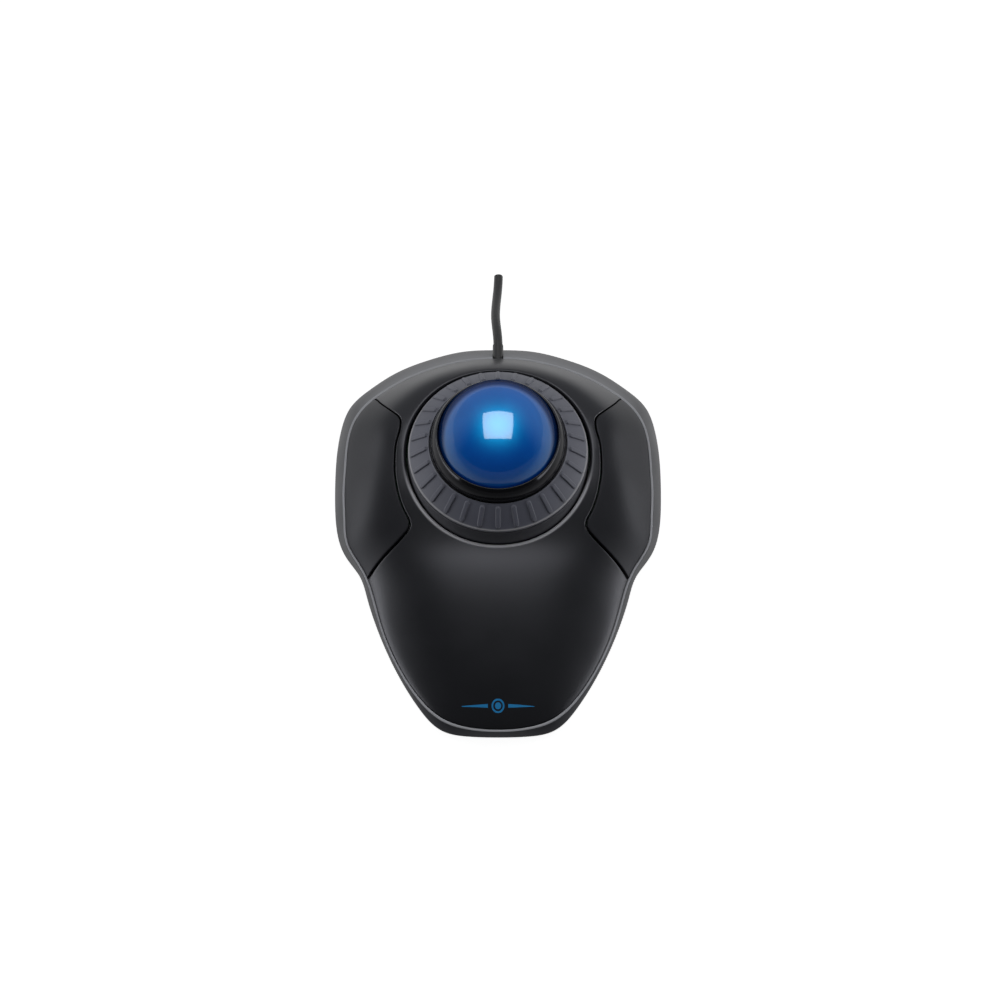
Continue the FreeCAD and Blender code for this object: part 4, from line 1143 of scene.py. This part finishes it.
# Name: dark tone, light tone, roughness
RUBBERS = {
    "ring_soft_touch": ((0.074, 0.078, 0.104), (0.090, 0.095, 0.126), 0.55),
    "cable_jacket": ((0.010, 0.010, 0.0105), (0.015, 0.015, 0.016), 0.48),
    "foot_rubber": ((0.028, 0.028, 0.028), (0.040, 0.040, 0.040), 0.75),
}
SURFACES = {name: plastic(name, *row, **PLASTIC_EXTRAS.get(name, {}))
            for name, row in PLASTICS.items()}
SURFACES.update({name: rubber(name, *row) for name, row in RUBBERS.items()})
SURFACES.update({
    "black_zinc_steel": metal("black_zinc_steel", color=(0.085, 0.085, 0.092), roughness=0.3),
    "pearl_blue": pearl_ball("pearl_blue"),
    "solder_mask": circuit_board("solder_mask"),
    "wire_insulation": wire_insulation("wire_insulation"),
    "lens_clear": clear("lens_clear", color=(0.92, 0.94, 0.95)),
    "led_tint": clear("led_tint", color=(0.95, 0.30, 0.25)),
})

# Material of each CAD slot
SLOT_SURFACES = {
    "shell_black": "shell_satin_black", "ball_blue": "pearl_blue", "cup_black": "moulded_black",
    "ceramic_white": "ceramic_white", "bezel_gloss": "bezel_polished",
    "core_black": "core_black", "ring_rubber": "ring_soft_touch",
    "washer_white": "washer_white", "pcb_green": "solder_mask", "chip_black": "chip_epoxy",
    "lens_clear": "lens_clear", "led_clear": "led_tint", "steel": "black_zinc_steel",
    "ribbon_white": "ribbon_white", "connector_white": "connector_nylon",
    "switch_black": "switch_black", "switch_red": "switch_red",
    "capacitor_sleeve": "capacitor_sleeve", "wire_colours": "wire_insulation",
    "cable_black": "cable_jacket", "foot_rubber": "foot_rubber", "label_silver": "label_foil"}


def paint_ledge_highlight(surface, tone):
    """Painted highlight: faces that look up, such as the narrow rim ledge, are painted lighter
    than the wall.
    """
    normal = surface.split(surface.node("ShaderNodeNewGeometry").outputs["Normal"])
    factor = surface.map_range(normal[2], span=(0.62, 0.93), smooth=True)
    surface.tint(factor, (tone * 0.98, tone, tone * 1.06))


def paint_edge_highlight(surface, inner, outer, tone, full_y, none_y):
    """Painted highlight: a lighter line between two radii about the ball axis, where faces look
    up, fading towards the rear (mm).
    """
    geometry = surface.node("ShaderNodeNewGeometry")
    place = surface.split(geometry.outputs["Position"])
    normal = surface.split(geometry.outputs["Normal"])
    flat = surface.node("ShaderNodeCombineXYZ")
    surface.feed(flat, X=place[0], Y=place[1])
    length = surface.node("ShaderNodeVectorMath", operation="LENGTH")
    surface.fill(length.inputs[0], flat.outputs[0])
    radius = length.outputs["Value"]
    blur = (outer - inner) * 0.3 * MM

    def soft(source, start, end, to):
        return surface.map_range(source, span=(start, end), to=to, smooth=True)

    rise, fall = (0.0, 1.0), (1.0, 0.0)
    # painted highlight mask: the band between the radii, on faces that look up, towards the front
    factor = surface.math("MULTIPLY",
                          soft(radius, inner * MM - blur, inner * MM + blur, rise),
                          soft(radius, outer * MM - blur, outer * MM + blur, fall))
    factor = surface.math("MULTIPLY", factor, soft(normal[2], 0.25, 0.60, rise))
    factor = surface.math("MULTIPLY", factor, soft(place[1], full_y * MM, none_y * MM, fall))
    surface.tint(factor, (tone, tone, tone * 1.06))


# painted highlight on the up-facing rim ledge of the lower shell
paint_ledge_highlight(SURFACES["base_satin_black"], tone=0.34)
# painted highlight on the front lip of the ball opening, standing in for light caught by the
# rounded edge
paint_edge_highlight(SURFACES["shell_satin_black"], inner=OPENING_RADIUS - 0.3, outer=OPENING_RADIUS + 1.2,
        tone=0.60, full_y=-18.0, none_y=-4.0)
# painted highlight along the outer edge of the finger ring
paint_edge_highlight(SURFACES["ring_soft_touch"], inner=RING_OUTER - 0.42, outer=RING_OUTER + 0.4,
        tone=0.30, full_y=0.0, none_y=30.0)

slot_of = {part["node"]: part["material_slot"] for part in frame["record"]["subparts"]}
for name, piece in frame["nodes"].items():
    if piece.hide_render:
        continue
    material = SURFACES[SLOT_SURFACES[slot_of[name]]].material
    if not piece.data.materials:
        piece.data.materials.append(material)
    for slot in piece.material_slots:
        slot.material = material
for piece, name in (
        (top_shell, "shell_satin_black"), (right_key, "key_satin_black"),
        (left_key, "key_satin_black"), (base, "base_satin_black"), (ball, "pearl_blue"),
        (bezel, "bezel_polished"), (collar, "ring_wall_black"), (ring, "ring_soft_touch"),
        (palm_mark, "mark_ink")):
    piece.data.materials.clear()
    piece.data.materials.append(SURFACES[name].material)

# ------------------------------------------------------------------ floor
FLOOR_HALF = 4000.0                    # mm
FLOOR_GLOW = (0.03, 0.56)              # reflected glow at the front and at the rear
FLOOR_FADE_Y = (-0.16, 0.02)           # where the glow changes (m)


def floor_surface():
    """White table, even to the camera; its reflected glow falls off towards the front."""
    surface = Surface("floor_white")
    cloud = surface.noise(scale=3, detail=2)
    place = surface.split(surface.node("ShaderNodeNewGeometry").outputs["Position"])
    glow = surface.map_range(place[1], span=FLOOR_FADE_Y, to=FLOOR_GLOW)
    surface.set(Base_Color=surface.gray_ramp(cloud, [(0.3, 0.86), (0.7, 0.90)]), Roughness=0.9,
                Specular_IOR_Level=0.0, Emission_Color=(1, 1, 1),
                Emission_Strength=surface.by_ray(reflected=glow, direct=0.94))
    return surface


floor = link("floor", [(x * FLOOR_HALF, y * FLOOR_HALF, 0)
                       for x, y in ((-1, -1), (1, -1), (1, 1), (-1, 1))],
             [(0, 1, 2, 3)], smooth=False)
floor.location.z = -0.00002
floor.data.materials.append(floor_surface().material)


# ------------------------------------------------------------------ lights
def area_light(name, location, target, size, power, only):
    """Rectangular light that reaches only the given objects."""
    light = bpy.data.lights.new(name, "AREA")
    light.shape = "RECTANGLE"
    light.size, light.size_y = size
    light.energy = power
    light.spread = math.radians(180)
    lamp = bpy.data.objects.new(name, light)
    lamp.location = location
    direction = Vector(target) - Vector(location)
    lamp.rotation_euler = direction.to_track_quat("-Z", "Y").to_euler()
    bpy.context.collection.objects.link(lamp)
    receivers = bpy.data.collections.new(name + "_lit")
    for piece in only:
        receivers.objects.link(piece)
    lamp.light_linking.receiver_collection = receivers


others = [piece for piece in bpy.context.scene.objects
          if piece.type == "MESH" and piece not in (ball, floor) and not piece.hide_render]
area_light("softbox_top", location=(0, 0.02, 1.25), target=(0, 0.0, 0), size=(1.25, 1.2),
           power=28.0, only=[ball])
area_light("shell_key", location=(0, 0.31, 1.16), target=(0, 0, 0), size=(1.0, 0.58),
           power=5.3, only=others)
for side in (-1, 1):
    area_light("side_strip", location=(side * 1.0, -0.12, 0.13), target=(0, -0.03, 0.02),
               size=(1.1, 0.26), power=3.8, only=others)


def studio_world():
    """Bright behind and beside the table near the horizon, dark overhead and at the front."""
    rear_weight, side_weight, overhead_weight = 0.9, 0.42, 0.25
    world = bpy.data.worlds.new("studio")
    bpy.context.scene.world = world
    world.use_nodes = True
    graph = Graph(world.node_tree)
    x, y, z = graph.split(graph.node("ShaderNodeTexCoord").outputs["Generated"])
    rear = graph.math("MULTIPLY", y, rear_weight)
    beside = graph.math("MULTIPLY", graph.math("ABSOLUTE", x), side_weight)
    overhead = graph.math("MULTIPLY", z, overhead_weight)
    level = graph.math("SUBTRACT", graph.math("ADD", rear, beside), overhead)
    glow = graph.map_range(level, span=(-0.1, 0.7), to=(0.03, 0.44), smooth=True)
    # seen directly, the backdrop is plain white paper
    graph.feed(world.node_tree.nodes["Background"], Color=(0.97, 0.985, 1.0),
               Strength=graph.by_ray(reflected=glow, direct=1.05))


studio_world()


# ------------------------------------------------------------------ camera
def add_camera():
    """Looks down from the front."""
    downward = math.radians(64.9)
    lens = bpy.data.cameras.new("camera")
    lens.sensor_width, lens.lens = 36.0, 43.844
    lens.shift_x, lens.clip_start = 0.002, 0.01
    camera = bpy.data.objects.new("camera", lens)
    bpy.context.collection.objects.link(camera)
    camera.location = (0, -0.18926, 0.39513)
    direction = Vector((0, math.cos(downward), -math.sin(downward)))
    camera.rotation_euler = direction.to_track_quat("-Z", "Y").to_euler()
    bpy.context.scene.camera = camera


add_camera()
bpy.context.scene.view_settings.view_transform = "Standard"
bpy.context.scene.view_settings.look = "None"
